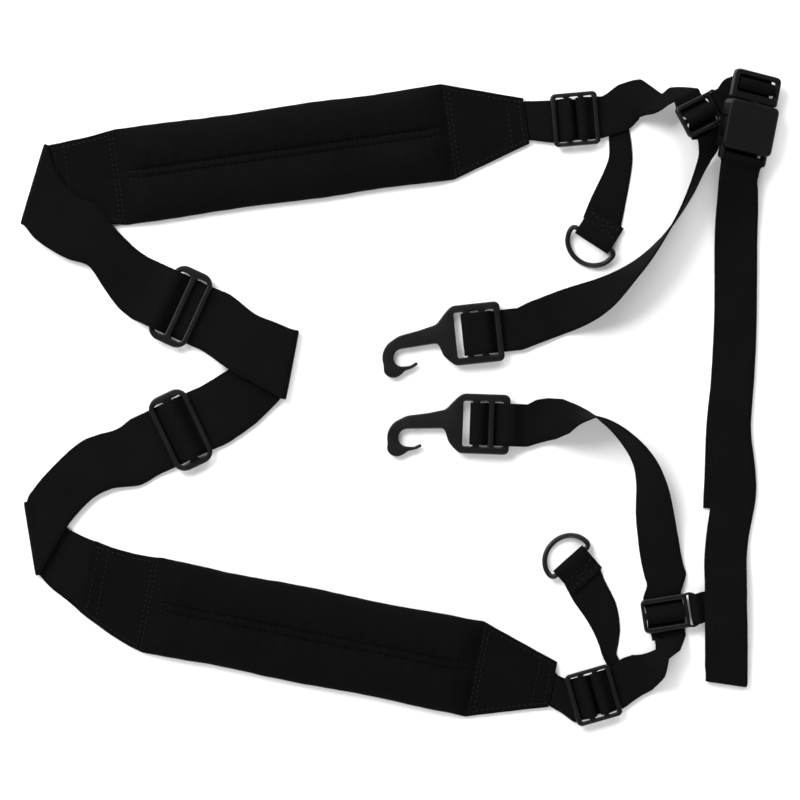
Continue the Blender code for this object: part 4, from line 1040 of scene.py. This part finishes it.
def shell_mesh(name, sections, laid, from_edge):
    """A closed mesh through sections of points, with its own map and its distance from the edge.

    laid holds a row of (across, along) in metres, and from_edge a row of metres, for each section.
    """
    made = bmesh.new()
    rings = [[made.verts.new(point) for point in section] for section in sections]
    layer = made.loops.layers.uv.new("laid")
    count = len(rings[0])

    def give(face, places):
        for loop, (row, corner) in zip(face.loops, places):
            across, along = laid[row][corner]
            loop[layer].uv = (across / UV_UNIT, along / UV_UNIT)

    for row in range(len(rings) - 1):
        for corner in range(count):
            after = (corner + 1) % count
            places = [(row, corner), (row, after), (row + 1, after), (row + 1, corner)]
            give(made.faces.new([rings[i][j] for i, j in places]), places)
    for row, order in ((0, range(count - 1, -1, -1)), (len(rings) - 1, range(count))):
        places = [(row, corner) for corner in order]
        give(made.faces.new([rings[i][j] for i, j in places]), places)
    bmesh.ops.recalc_face_normals(made, faces=made.faces)
    mesh = bpy.data.meshes.new(name)
    made.to_mesh(mesh)
    made.free()
    values = [distance / MM for row in from_edge for distance in row]
    attribute = mesh.attributes.new("from_edge", "FLOAT", "POINT")
    attribute.data.foreach_set("value", values)
    return mesh


def dense(stations, step=RUN_STEP):
    """Stations along a smooth curve through the given ones, about one step apart."""
    ends = [stations[0], *stations, stations[-1]]
    found = []
    for (b, wb), (c, wc), (d, wd), (e, we) in zip(ends, ends[1:], ends[2:], ends[3:]):
        count = max(1, round((d - c).length / step))
        for i in range(count):
            t = i / count
            weights = (-0.5 * t + t * t - 0.5 * t**3, 1 - 2.5 * t * t + 1.5 * t**3,
                       0.5 * t + 2 * t * t - 1.5 * t**3, -0.5 * t * t + 0.5 * t**3)
            centre = b * weights[0] + c * weights[1] + d * weights[2] + e * weights[3]
            found.append((centre, wc.lerp(wd, t)))
    return [*found, stations[-1]]


def strip_profile():
    """The webbing's cross-section: (share across, share of half the thickness), counter-clockwise."""
    top = [(-1 + 2 * i / ACROSS_STEPS) for i in range(1, ACROSS_STEPS)]
    line = [(-1.0, -0.35), (-0.965, -0.86)]
    line += [(share, -1.0) for share in top]
    line += [(0.965, -0.86), (1.0, -0.35), (1.0, 0.35), (0.965, 0.86)]
    line += [(share, 1.0) for share in reversed(top)]
    line += [(-0.965, 0.86), (-1.0, 0.35)]
    return line


def strip_mesh(name, stations, thick=THICK):
    """Webbing as a closed strip with soft edges, slightly uneven as woven tape is."""
    run = dense(stations)
    profile = strip_profile()
    sections, laid, from_edge = [], [], []
    travelled = 0.0
    normal_before = None
    for i, (centre, across) in enumerate(run):
        before, after = run[max(i - 1, 0)][0], run[min(i + 1, len(run) - 1)][0]
        travelled += (centre - before).length if i else 0.0
        normal = across.cross(after - before)
        if normal.length < 1e-12:
            normal = normal_before
        normal = normal.normalized()
        normal_before = normal
        half = across.length
        uneven = noise.noise(centre * 45.0) * 0.025 + noise.noise(centre * 160.0) * 0.012
        side = across * (1.0 + uneven * 0.5)
        sections.append([centre + side * share + normal * (thick / 2 * up) for share, up in profile])
        laid.append([(half * share, travelled) for share, _ in profile])
        from_edge.append([half * (1.0 - abs(share)) for share, _ in profile])
    mesh = shell_mesh(name, sections, laid, from_edge)
    smooth_shading(mesh, 50.0)
    return mesh, travelled


def tucked(stations, pad_end, reach=0.006):
    """The same run carried on a little under the pad that it is sewn to."""
    if (stations[0][0] - pad_end).length > (stations[-1][0] - pad_end).length:
        return tucked(stations[::-1], pad_end, reach)
    (first, across), (second, _) = stations[:2]
    return [(first + (first - second).normalized() * reach, across), *stations]


def strap(name, stations, width, nodes, body="harness", bend=None):
    """A length of webbing, declared with the size it was cut to; bend is (body, start, end) where it turns."""
    mesh, length = strip_mesh(name, stations)
    made = add_piece(name, mesh, finish_of("harness_webbing"), None if bend else body, *nodes,
                     slot="webbing")
    if bend:
        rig.blend(made, body, *bend)
    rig.sheet(made, flat=(width, length), held="laid", rests_on=["floor"])
    return made


def plate_mesh(name, outline, holes, thickness, place_frame, edge):
    """A moulded plate with holes and softly rounded edges, as a mesh in its place."""
    curve = bpy.data.curves.new(name, "CURVE")
    curve.dimensions = "2D"
    curve.fill_mode = "BOTH"
    curve.extrude = thickness / 2 - edge
    curve.bevel_depth = edge
    curve.bevel_resolution = FINE
    curve.offset = -edge
    for line in [outline, *holes]:
        closed_line(curve, line)
    return meshed(name, curve, place_frame)


def meshed(name, curve, place_frame):
    """The mesh of a curve, in its place and with its faces outwards."""
    mesh = evaluated_mesh(linked(name, curve))
    bpy.data.curves.remove(curve)
    mesh.transform(place_frame)
    made = bmesh.new()
    made.from_mesh(mesh)
    bmesh.ops.remove_doubles(made, verts=made.verts, dist=WELD)
    bmesh.ops.recalc_face_normals(made, faces=made.faces)
    made.to_mesh(mesh)
    made.free()
    smooth_shading(mesh, 32.0)
    mesh.name = name
    return mesh


# ---------------------------------------------------------------- pads
PAD_STEP = 0.0014
PAD_ACROSS = 56
SEAM_OFFSET = 0.0021
SEAM_HALF = 0.0011
SEAM_DEPTH = 0.0016
CHANNEL_HALF = 0.0090
CHANNEL_DEPTH = 0.0030
END_REACH = 0.017
EDGE_SHARE = 0.62
HEM = 0.0028
STITCH_RISE = 0.0001
STITCH_SHARE = 0.72


def bell(distance, half):
    return math.exp(-(distance / half) ** 2)


def pad_top(x, y, half, sweep, seed):
    """Height of a pad's upper surface at a point of the pad's own frame."""
    share = min(abs(y) / half, 1.0)
    crumple = noise.noise(Vector((x * 34.0 + seed, y * 34.0, 0.3)))
    ripple = noise.noise(Vector((x * 110.0 + seed, y * 70.0, 1.7)))
    inside = min(x, PAD_LENGTH - x)
    if inside <= 0:
        fade = 1.0 - min(-inside / 0.008, 1.0)
        height = PAD_END + 0.0002 * ripple + 0.00025 * crumple
        if x < 0:
            height -= 0.0006 * bell(y - sweep, SEAM_HALF * 1.6) * (1.0 + x / REAR_TAPER)
        return height + fade * 0.0004 * ripple
    rise = math.sin(min(inside / END_REACH, 1.0) * math.pi / 2) ** 0.75
    crown = (1.0 - share**3.4) ** 0.66
    height = PAD_END + (PAD_HEIGHT - 0.0006 - PAD_END) * crown * rise
    soft = crown * rise
    channel = CHANNEL_DEPTH * bell(y, CHANNEL_HALF)
    seams = SEAM_DEPTH * (bell(y - SEAM_OFFSET, SEAM_HALF) + bell(y + SEAM_OFFSET, SEAM_HALF))
    pucker = 0.00022 * math.sin(x * 2 * math.pi / 0.0085 + seed) * bell(abs(y) - 0.006, 0.006)
    drag = 0.00045 * ripple * bell(inside - 0.010, 0.012)
    return height - soft * (channel + seams) + soft * (pucker + 0.0006 * crumple + 0.0002 * ripple) + drag


def pad_rows():
    """Distances along a pad, from its rear end to its front end."""
    start, end = -REAR_TAPER, PAD_LENGTH + FRONT_TAPER
    count = round((end - start) / PAD_STEP)
    return [start + (end - start) * i / count for i in range(count + 1)]


def pad_mesh(name, pad, sweep, seed):
    """The sewn cover: crowned over the foam, flat at both ends, flat against the shoulder."""
    sections, laid, from_edge = [], [], []
    for x in pad_rows():
        half, offset = pad_station(x, sweep)
        inside = min(x, PAD_LENGTH - x)
        pull = 0.0009 * math.sin(min(max(inside, 0.0) / 0.05, 1.0) * math.pi / 2)
        half -= pull * (0.6 + 0.4 * math.sin(x * 70.0 + seed)) + 0.0003 * noise.noise(Vector((x * 90.0,
                                                                                              seed, 0.0)))
        shares = [-math.cos(math.pi * i / PAD_ACROSS) * 0.35 + (-1 + 2 * i / PAD_ACROSS) * 0.65
                  for i in range(PAD_ACROSS + 1)]
        edge_top = PAD_END * EDGE_SHARE
        top = []
        for share in shares:
            y = share * half
            height = max(pad_top(x, y, half, offset, seed), edge_top)
            tuck = (1.0 - min(abs(share), 1.0) ** 6)
            top.append((y, edge_top + (height - edge_top) * tuck if abs(share) > 0.985 else height))
        bottom = [(share * half * 0.985, 0.0002) for share in (1.0, 0.6, 0.2, -0.2, -0.6, -1.0)]
        line = top + [(half, PAD_END * 0.3)] + bottom + [(-half, PAD_END * 0.3)]
        sections.append([pad @ Vector((x, y + offset, z)) for y, z in line])
        laid.append([(y, x) for y, _ in line])
        from_edge.append([max(half - abs(y), 0.0) for y, _ in line])
    mesh = shell_mesh(name, sections, laid, from_edge)
    smooth_shading(mesh, 60.0)
    return mesh


# ---------------------------------------------------------------- stitches
def stitch_tree():
    """Stitches of one length along every line of a mesh."""
    tree = bpy.data.node_groups.new("harness_stitches", "GeometryNodeTree")
    face = tree.interface
    face.new_socket("Geometry", in_out="INPUT", socket_type="NodeSocketGeometry")
    sizes = {}
    for label, default in (("Stitch pitch", 0.0030), ("Stitch length", 0.0021), ("Thread radius", 0.00026)):
        made = face.new_socket(label, in_out="INPUT", socket_type="NodeSocketFloat")
        made.default_value = default
        sizes[label] = made.identifier
    paint = face.new_socket("Thread", in_out="INPUT", socket_type="NodeSocketMaterial")
    sizes["Thread"] = paint.identifier
    face.new_socket("Geometry", in_out="OUTPUT", socket_type="NodeSocketGeometry")

    def node(kind, links=(), **settings):
        made = tree.nodes.new(kind)
        for setting, value in settings.items():
            setattr(made, setting, value)
        for key, value in links:
            if isinstance(value, bpy.types.NodeSocket):
                tree.links.new(value, made.inputs[key])
            else:
                made.inputs[key].default_value = value
        return made

    given = node("NodeGroupInput")
    lines = node("GeometryNodeMeshToCurve", [("Mesh", given.outputs["Geometry"])])
    spaced = node("GeometryNodeResampleCurve", [("Curve", lines.outputs[0]),
                                                ("Length", given.outputs["Stitch pitch"])],
                  mode="LENGTH")
    tangent = node("GeometryNodeInputTangent")
    turned = node("FunctionNodeAlignRotationToVector", [("Vector", tangent.outputs[0])], axis="X")
    bead = node("GeometryNodeMeshUVSphere", [("Segments", 6), ("Rings", 5), ("Radius", 1.0)])
    half_length = node("ShaderNodeMath", [(0, given.outputs["Stitch length"]), (1, 0.5)],
                       operation="MULTIPLY")
    size = node("ShaderNodeCombineXYZ", [("X", half_length.outputs[0]),
                                         ("Y", given.outputs["Thread radius"]),
                                         ("Z", given.outputs["Thread radius"])])
    placed = node("GeometryNodeInstanceOnPoints", [("Points", spaced.outputs[0]),
                                                   ("Instance", bead.outputs[0]),
                                                   ("Rotation", turned.outputs[0]),
                                                   ("Scale", size.outputs[0])])
    real = node("GeometryNodeRealizeInstances", [("Geometry", placed.outputs[0])])
    painted = node("GeometryNodeSetMaterial", [("Geometry", real.outputs[0]),
                                               ("Material", given.outputs["Thread"])])
    node("NodeGroupOutput", [("Geometry", painted.outputs[0])])
    return tree, sizes


def stitched(name, lines, body):
    """The stitches along these lines of points, as one mesh on one body."""
    look = bpy.context.scene.harness_look
    path = bpy.data.meshes.new(name + "_lines")
    points, links = [], []
    for line in lines:
        start = len(points)
        points += line
        links += [(start + i, start + i + 1) for i in range(len(line) - 1)]
    path.from_pydata(points, links, [])
    holder = linked(name + "_lines", path)
    tree, sizes = stitch_tree()
    sewn = holder.modifiers.new("stitches", "NODES")
    sewn.node_group = tree
    sewn[sizes["Stitch pitch"]] = look.stitch_pitch
    sewn[sizes["Stitch length"]] = look.stitch_pitch * STITCH_SHARE
    sewn[sizes["Thread radius"]] = look.thread_radius
    sewn[sizes["Thread"]] = finish_of("harness_thread")
    mesh = evaluated_mesh(holder)
    mesh.shade_smooth()
    return add_piece(name, mesh, finish_of("harness_thread"), body, slot="webbing")


def pad_lines(pad, sweep, seed):
    """The sewn lines of a pad: the centre channel, both cross seams, and the hems of the flat ends."""
    def on_top(x, y):
        half, offset = pad_station(x, sweep)
        return pad @ Vector((x, y + offset, max(pad_top(x, y, half, offset, seed), PAD_END * EDGE_SHARE)
                             + STITCH_RISE))

    def row(x0, y0, x1, y1, count=60):
        return [on_top(x0 + (x1 - x0) * i / count, y0 + (y1 - y0) * i / count) for i in range(count + 1)]

    lines = []
    for side in (-1, 1):
        lines.append(row(0.006, side * SEAM_OFFSET, PAD_LENGTH - 0.006, side * SEAM_OFFSET, 150))
    half = PAD_WIDTH / 2
    for x in (-0.0015, -0.0040, PAD_LENGTH + 0.0015, PAD_LENGTH + 0.0040):
        inner = min(pad_station(x, sweep)[0], half) - 0.002
        lines.append(row(x, -inner, x, inner))
    for start, end in ((-0.006, -REAR_TAPER + 0.002), (PAD_LENGTH + 0.006, PAD_LENGTH
                                                       + FRONT_TAPER - 0.002)):
        for side in (-1, 1):
            first, last = pad_station(start, sweep)[0] - HEM, pad_station(end, sweep)[0] - HEM
            lines.append(row(start, side * first, end, side * last))
    for x in (-REAR_TAPER + 0.003, -REAR_TAPER + 0.009, PAD_LENGTH + FRONT_TAPER - 0.003, PAD_LENGTH
              + FRONT_TAPER - 0.010):
        inner = pad_station(x, sweep)[0] - HEM
        lines.append(row(x, -inner, x, inner))
    return lines


def run_lines(stations, start, end, inset, rise):
    """Sewn lines on webbing: a box with a cross, between two distances along its run."""
    run = dense(stations)
    travelled, kept = 0.0, []
    for i, (centre, across) in enumerate(run):
        before, after = run[max(i - 1, 0)][0], run[min(i + 1, len(run) - 1)][0]
        travelled += (centre - before).length if i else 0.0
        if start <= travelled <= end:
            normal = across.cross(after - before).normalized()
            if normal.z < 0:
                normal = -normal
            kept.append((centre + normal * rise, across * (1.0 - inset / across.length)))
    if len(kept) < 2:
        raise RuntimeError("no webbing between those distances")
    left = [centre - across for centre, across in kept]
    right = [centre + across for centre, across in kept]
    count = len(kept) - 1
    cross = [centre + across * (2 * i / count - 1) for i, (centre, across) in enumerate(kept)]
    other = [centre - across * (2 * i / count - 1) for i, (centre, across) in enumerate(kept)]
    return [left, right, [left[0], right[0]], [left[-1], right[-1]], cross, other]


# ---------------------------------------------------------------- what a user can change
class HarnessLook(bpy.types.PropertyGroup):
    webbing_colour: bpy.props.FloatVectorProperty(
        name="Webbing colour", description="Dyed nylon webbing", subtype="COLOR",
        default=(0.0028, 0.0028, 0.0029))
    cloth_colour: bpy.props.FloatVectorProperty(
        name="Cover colour", description="Cloth cover of the pads", subtype="COLOR",
        default=(0.0031, 0.0031, 0.0032))
    moulded_colour: bpy.props.FloatVectorProperty(
        name="Moulding colour", description="Plastic of buckle, hooks and sliders", subtype="COLOR",
        default=(0.0030, 0.0030, 0.0031))
    wire_colour: bpy.props.FloatVectorProperty(
        name="Ring colour", description="Coating of the D-rings", subtype="COLOR",
        default=(0.0035, 0.0035, 0.0036))
    thread_colour: bpy.props.FloatVectorProperty(
        name="Thread colour", description="Sewing thread", subtype="COLOR",
        default=(0.0050, 0.0050, 0.0052))
    floor_colour: bpy.props.FloatVectorProperty(
        name="Floor colour", description="Plain table top", subtype="COLOR", default=(0.93, 0.93, 0.93))
    rib_pitch: bpy.props.FloatProperty(
        name="Rib pitch", description="Distance between the ribs of the webbing", subtype="DISTANCE",
        default=0.0011)
    stitch_pitch: bpy.props.FloatProperty(
        name="Stitch pitch", description="Distance between stitches", subtype="DISTANCE", default=0.0030)
    thread_radius: bpy.props.FloatProperty(
        name="Thread radius", description="Half the thickness of the thread", subtype="DISTANCE",
        default=0.00026)
    camera_height: bpy.props.FloatProperty(
        name="Camera height", description="Camera above the table", subtype="DISTANCE", default=1.85)
    view_width: bpy.props.FloatProperty(
        name="View width", description="Width of table in view", subtype="DISTANCE", default=0.472)
    key_power: bpy.props.FloatProperty(
        name="Key light", description="Power of the large soft light", subtype="POWER", default=72.0)


# ---------------------------------------------------------------- operators
FLOOR_HALF = 3.0
SENSOR_WIDTH = 36.0
CAMERA_Y = -0.0012
SKY_STRENGTH = 0.26
FILL_SHARE = 0.5


class HARNESS_OT_stage(bpy.types.Operator):
    """Lay the floor and set the camera and the soft lights"""

    bl_idname = "harness.stage"
    bl_label = "Stage"

    def execute(self, context):
        look = context.scene.harness_look
        size = FLOOR_HALF
        mesh = bpy.data.meshes.new("floor")
        corners = [(-size, -size, 0.0), (size, -size, 0.0), (size, size, 0.0), (-size, size, 0.0)]
        mesh.from_pydata(corners, [], [(0, 1, 2, 3)])
        mesh.materials.append(finish_of("harness_floor"))
        floor = linked("floor", mesh)
        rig.stage(floor)

        camera = linked("harness_camera", bpy.data.cameras.new("harness_camera"))
        camera.data.sensor_width = SENSOR_WIDTH
        camera.data.lens = camera.data.sensor_width * look.camera_height / look.view_width
        camera.data.clip_end = 20.0
        camera.location = (0.0, CAMERA_Y, look.camera_height)
        context.scene.camera = camera

        world = context.scene.world or bpy.data.worlds.new("harness_world")
        context.scene.world = world
        world.use_nodes = True
        sky = world.node_tree.nodes["Background"]
        sky.inputs["Color"].default_value = (1.0, 1.0, 1.0, 1.0)
        sky.inputs["Strength"].default_value = SKY_STRENGTH
        for name, where, extent, power in (
            ("key_light", (-1.3, 1.3, 1.5), 1.3, look.key_power),
            ("far_light", (0.5, 2.0, 1.3), 1.4, look.key_power * FILL_SHARE),
            ("near_light", (-0.2, -1.9, 1.2), 1.4, look.key_power * FILL_SHARE),
        ):
            light = bpy.data.lights.new(name, "AREA")
            light.size = extent
            light.energy = power
            lamp = linked(name, light)
            lamp.location = where
            lamp.rotation_euler = (-Vector(where)).to_track_quat("-Z", "Y").to_euler()
        context.scene.view_settings.view_transform = "Standard"
        return {"FINISHED"}


class HARNESS_OT_pads(bpy.types.Operator):
    """Sew the two shoulder pads"""

    bl_idname = "harness.pads"
    bl_label = "Shoulder pads"

    def execute(self, context):
        for side, (pad, sweep, seed) in PADS.items():
            mesh = pad_mesh(f"{side}_pad", pad, sweep, seed)
            nodes = [f"{side}_pad_{layer}" for layer in ("cover", "foam", "lining")]
            made = add_piece(f"{side}_pad", mesh, finish_of("harness_cloth"), "harness", *nodes,
                             slot="cover_cloth")
            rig.padded(made, fill=0.7)
        return {"FINISHED"}


class HARNESS_OT_rear_webbing(bpy.types.Operator):
    """Lay the two wide webbings that cross behind the player's back"""

    bl_idname = "harness.rear_webbing"
    bl_label = "Rear webbing"

    def execute(self, context):
        runs = rear_runs()
        for side in ("left", "right"):
            parts = [f"{side}_rear_{part}" for part in ("strap", "threaded", "doubled", "end_loop")]
            stations = []
            for part in parts:
                stations += runs[part][1:] if stations else runs[part]
            pad, sweep, _ = PADS[side]
            pad_end = pad @ Vector((-REAR_TAPER, sweep, level(0)))
            strap(f"{side}_rear_webbing", tucked(stations, pad_end), WIDE, parts)
        return {"FINISHED"}


class HARNESS_OT_front_webbing(bpy.types.Operator):
    """Thread the narrow webbing of both sides: pull tail, lock, chest slider and hook strap"""

    bl_idname = "harness.front_webbing"
    bl_label = "Front webbing"

    def execute(self, context):
        front, hooks = front_runs(), hook_runs()
        for side in ("left", "right"):
            pad_end = PADS[side][0] @ Vector((PAD_LENGTH + FRONT_TAPER, 0.0, level(0)))
            strap(f"{side}_tab", tucked(front[f"{side}_front_tab"], pad_end), NARROW, [f"{side}_front_tab"])
            lock = LEFT_LOCK if side == "left" else RIGHT_LOCK
            low = level(0) - DECK_MID
            lap = in_frame(lock, [(-LAP_REACH, low), (0.0, low), (LAP_REACH, low)], NARROW - LAP_TRIM, 1)
            strap(f"{side}_tab_lap", lap, NARROW - LAP_TRIM, [])
            strap(f"{side}_tail", front[f"{side}_pull_tail"][::-1], NARROW, [f"{side}_pull_tail"])
            ending = hooks[f"{side}_hook_strap_end"]
            before, after = hooks[f"{side}_hook_strap"][-1], ending[0]
            if before[1].dot(after[1]) < 0:
                ending = [(centre, -across) for centre, across in ending]
            stations = front[f"{side}_front_strap"] + hooks[f"{side}_hook_strap"][1:] + ending
            middle, reach = (before[0] + after[0]) / 2, (after[0] - before[0]).normalized() * HINGE_REACH
            parts = [f"{side}_{part}" for part in ("front_strap", "hook_strap", "hook_strap_end")]
            strap(f"{side}_front_webbing", stations, NARROW, parts,
                  bend=(f"{side}_hook", middle - reach, middle + reach))
        return {"FINISHED"}


class HARNESS_OT_chest_webbing(bpy.types.Operator):
    """Lay the chest strap, its adjusting tail and its two tabs"""

    bl_idname = "harness.chest_webbing"
    bl_label = "Chest webbing"

    def execute(self, context):
        runs = chest_runs()
        stations = runs["chest_strap_upper"] + runs["chest_strap_lower"][1:]
        strap("chest_webbing", stations, NARROW, ["chest_strap_upper", "chest_strap_lower"])
        strap("chest_tail", runs["chest_strap_tail"], NARROW, ["chest_strap_tail"])
        strap("left_tab_chest", runs["left_chest_tab"], TAB_WIDTH, ["left_chest_tab"])
        strap("right_tab_chest", runs["right_chest_tab"], TAB_WIDTH, ["right_chest_tab"])
        strap("left_tab_chest_end", runs["left_chest_tab_end"], NARROW, ["left_chest_tab_end"],
              "buckle_plug")
        marks, back = plug_edges(), socket_end()
        low = -(BUCKLE_PLATE / 2 + FIT + THICK / 2 + LAYER_GAP)
        for name, start, end, body in (("left_tab_chest_lap", marks[1], marks[5] - FIT, "buckle_plug"),
                                       ("chest_webbing_lap", back + 3 * BUCKLE_BAR, back - BUCKLE_SLOT
                                        + THICK, "harness")):
            lap = in_frame(BUCKLE, [(start, low), ((start + end) / 2, low), (end, low)], NARROW - LAP_TRIM,
                           1)
            strap(name, lap, NARROW - LAP_TRIM, [], body)
        return {"FINISHED"}


class HARNESS_OT_sliders(bpy.types.Operator):
    """Mould the rear sliders, ladder locks and chest sliders"""

    bl_idname = "harness.sliders"
    bl_label = "Sliders and locks"

    def execute(self, context):
        material = finish_of("harness_moulded")
        for name, outline, holes, place_frame in slider_shapes():
            mesh = plate_mesh(name + "_moulded", outline, holes, BAR_THICK, place_frame, PLATE_EDGE)
            add_piece(name + "_moulded", mesh, material, "harness", name, slot="moulded")
        return {"FINISHED"}


class HARNESS_OT_hooks(bpy.types.Operator):
    """Mould the two hooks with their frames"""

    bl_idname = "harness.hooks"
    bl_label = "Hooks"

    def execute(self, context):
        edges_found = hook_edges()
        slot_half = NARROW / 2 + SLOT_SPARE
        holes = [rounded(edges_found[i + 1], edges_found[i], -slot_half, slot_half, SLOT_CORNER,
                         FINE_CORNER) for i in (1, 3, 5)]
        for side, place_frame in (("left", LEFT_HOOK), ("right", RIGHT_HOOK)):
            mesh = plate_mesh(f"{side}_hook_moulded", softened(hook_outline()), holes, HOOK_THICK,
                              place_frame, HOOK_EDGE)
            add_piece(f"{side}_hook_moulded", mesh, finish_of("harness_moulded"), f"{side}_hook",
                      f"{side}_hook",
                      slot="moulded")
        return {"FINISHED"}


class HARNESS_OT_rings(bpy.types.Operator):
    """Bend the two D-rings"""

    bl_idname = "harness.rings"
    bl_label = "D-rings"

    def execute(self, context):
        for side, place_frame in (("left", LEFT_RING), ("right", RIGHT_RING)):
            curve = bpy.data.curves.new(f"{side}_ring", "CURVE")
            curve.dimensions = "3D"
            curve.bevel_depth = RING_ROD
            curve.bevel_resolution = 5
            closed_line(curve, ring_line())
            tilt = Matrix.Rotation(math.radians(RING_TILT), 4, "Y")
            mesh = meshed(f"{side}_ring", curve, place_frame @ tilt)
            add_piece(f"{side}_ring", mesh, finish_of("harness_wire"), f"{side}_d_ring", f"{side}_d_ring",
                      slot="coated_wire")
        return {"FINISHED"}


class HARNESS_OT_buckle(bpy.types.Operator):
    """Give the side-release buckle its moulded finish"""

    bl_idname = "harness.buckle"
    bl_label = "Buckle"

    def execute(self, context):
        material = finish_of("harness_moulded")
        for name in ("buckle_socket", "buckle_plug", "buckle_left_arm", "buckle_right_arm"):
            node = frame["nodes"][name]
            for place_slot in node.material_slots:
                place_slot.material = material
        return {"FINISHED"}


class HARNESS_OT_stitches(bpy.types.Operator):
    """Sew the seams of the pads and the ends of the pull tails"""

    bl_idname = "harness.stitches"
    bl_label = "Stitches"

    def execute(self, context):
        lines = pad_lines(*PADS["left"]) + pad_lines(*PADS["right"])
        stitched("pad_stitches", lines, "harness")
        front = front_runs()
        sewn = []
        for side in ("left", "right"):
            run = front[f"{side}_pull_tail"]
            total = sum((b[0] - a[0]).length for a, b in zip(run, run[1:]))
            sewn += run_lines(run, total - TACK_END, total - TACK_START, TACK_INSET, THICK / 2)
        stitched("tail_stitches", sewn, "harness")
        return {"FINISHED"}


def slider_shapes():
    """Outlines, holes and places of the flat moulded pieces."""
    shapes = []
    reach = TRI_CENTRE_BAR / 2 + TRI_SLOT + TRI_OUTER_BAR
    slot_half = WIDE / 2 + SLOT_SPARE
    near, far = TRI_CENTRE_BAR / 2, TRI_CENTRE_BAR / 2 + TRI_SLOT
    outline = rounded(-reach, reach, -slot_half - TRI_END, slot_half + TRI_END, 0.0075, 10)
    holes = [rounded(near, far, -slot_half, slot_half, 0.0022, 6),
             rounded(-far, -near, -slot_half, slot_half, 0.0022, 6)]
    shapes.append(("left_rear_slider", outline, holes, LEFT_SLIDER))
    shapes.append(("right_rear_slider", outline, holes, RIGHT_SLIDER))
    marks = lock_bars()
    slot_half = NARROW / 2 + SLOT_SPARE
    outline = rounded(marks[0], marks[-1], -slot_half - LOCK_RAIL, slot_half + LOCK_RAIL, 0.0030, 6)
    holes = [rounded(marks[i], marks[i + 1], -slot_half, slot_half, SLOT_CORNER, FINE_CORNER)
             for i in (1, 3, 5)]
    shapes.append(("left_ladder_lock", outline, holes, LEFT_LOCK))
    shapes.append(("right_ladder_lock", outline, holes, RIGHT_LOCK))
    reach = chest_reach()
    slot_half = CHEST_WEB / 2 + FIT
    near, far = CHEST_BAR / 2, CHEST_BAR / 2 + CHEST_SLOT
    loop_half = TAB_WIDTH / 2 + 0.0004
    for name, side, place_frame in (("left_chest_slider", 1, LEFT_CHEST),
                                    ("right_chest_slider", -1, RIGHT_CHEST)):
        low, high = sorted((-side * CHEST_HALF, side * SIDE_REACH))
        loop_low, loop_high = sorted((side * CHEST_HALF, side * (CHEST_HALF + SIDE_SLOT)))
        holes = [rounded(-far, -near, -slot_half, slot_half, SLOT_CORNER, FINE_CORNER),
                 rounded(near, far, -slot_half, slot_half, SLOT_CORNER, FINE_CORNER),
                 rounded(-loop_half, loop_half, loop_low, loop_high, SLOT_CORNER, FINE_CORNER)]
        shapes.append((name, rounded(-reach, reach, low, high, 0.0030, 6), holes, place_frame))
    return shapes


def softened(line, rounds=2):
    """The same closed outline with its corners cut back, twice by default."""
    for _ in range(rounds):
        cut = []
        for (ax, ay), (bx, by) in zip(line, [*line[1:], line[0]]):
            share = min(0.25, 0.0009 / max(math.dist((ax, ay), (bx, by)), 1e-9))
            cut += [(ax + (bx - ax) * share, ay + (by - ay) * share),
                    (bx + (ax - bx) * share, by + (ay - by) * share)]
        line = cut
    return line


def ring_line():
    """The middle line of a D-ring in its own frame."""
    half, bend = ring_half(), RING_CORNER
    line = [(0.0, y * (half - bend) / 10) for y in range(-10, 11)]
    line += [(x, y) for x, y in arc(bend, half - bend, bend, 180, 90, 6)[1:]]
    bow = [math.radians(90 - 180 * i / 40) for i in range(41)]
    line += [(bend + (RING_DEPTH - bend) * math.cos(a), half * math.sin(a)) for a in bow][1:]
    line += [(x, y) for x, y in arc(bend, -half + bend, bend, 270, 180, 6)[1:-1]]
    return line


OPERATORS = (HARNESS_OT_stage, HARNESS_OT_pads, HARNESS_OT_rear_webbing, HARNESS_OT_front_webbing,
             HARNESS_OT_chest_webbing, HARNESS_OT_sliders, HARNESS_OT_hooks, HARNESS_OT_rings,
             HARNESS_OT_buckle, HARNESS_OT_stitches)


class HARNESS_PT_panel(bpy.types.Panel):
    """The harness's sizes, colours and pieces"""

    bl_idname = "HARNESS_PT_panel"
    bl_label = "Saxophone harness"
    bl_space_type = "VIEW_3D"
    bl_region_type = "UI"
    bl_category = "Harness"

    def draw(self, context):
        look = context.scene.harness_look
        for name in HarnessLook.__annotations__:
            self.layout.prop(look, name)
        for operator in OPERATORS:
            self.layout.operator(operator.bl_idname)


def register():
    for made in (HarnessLook, *OPERATORS, HARNESS_PT_panel):
        bpy.utils.register_class(made)
    bpy.types.Scene.harness_look = bpy.props.PointerProperty(type=HarnessLook)


def unregister():
    del bpy.types.Scene.harness_look
    for made in reversed((HarnessLook, *OPERATORS, HARNESS_PT_panel)):
        bpy.utils.unregister_class(made)


def main():
    register()
    bpy.ops.harness.stage()
    bpy.ops.harness.pads()
    bpy.ops.harness.rear_webbing()
    bpy.ops.harness.front_webbing()
    bpy.ops.harness.chest_webbing()
    bpy.ops.harness.sliders()
    bpy.ops.harness.hooks()
    bpy.ops.harness.rings()
    bpy.ops.harness.buckle()
    bpy.ops.harness.stitches()
    with open("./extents.json", "w") as sizes:
        json.dump({"cad": CAD_BOX, "visual": [list(corner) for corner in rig.bounds()]}, sizes)


if __name__ == "__main__":
    main()
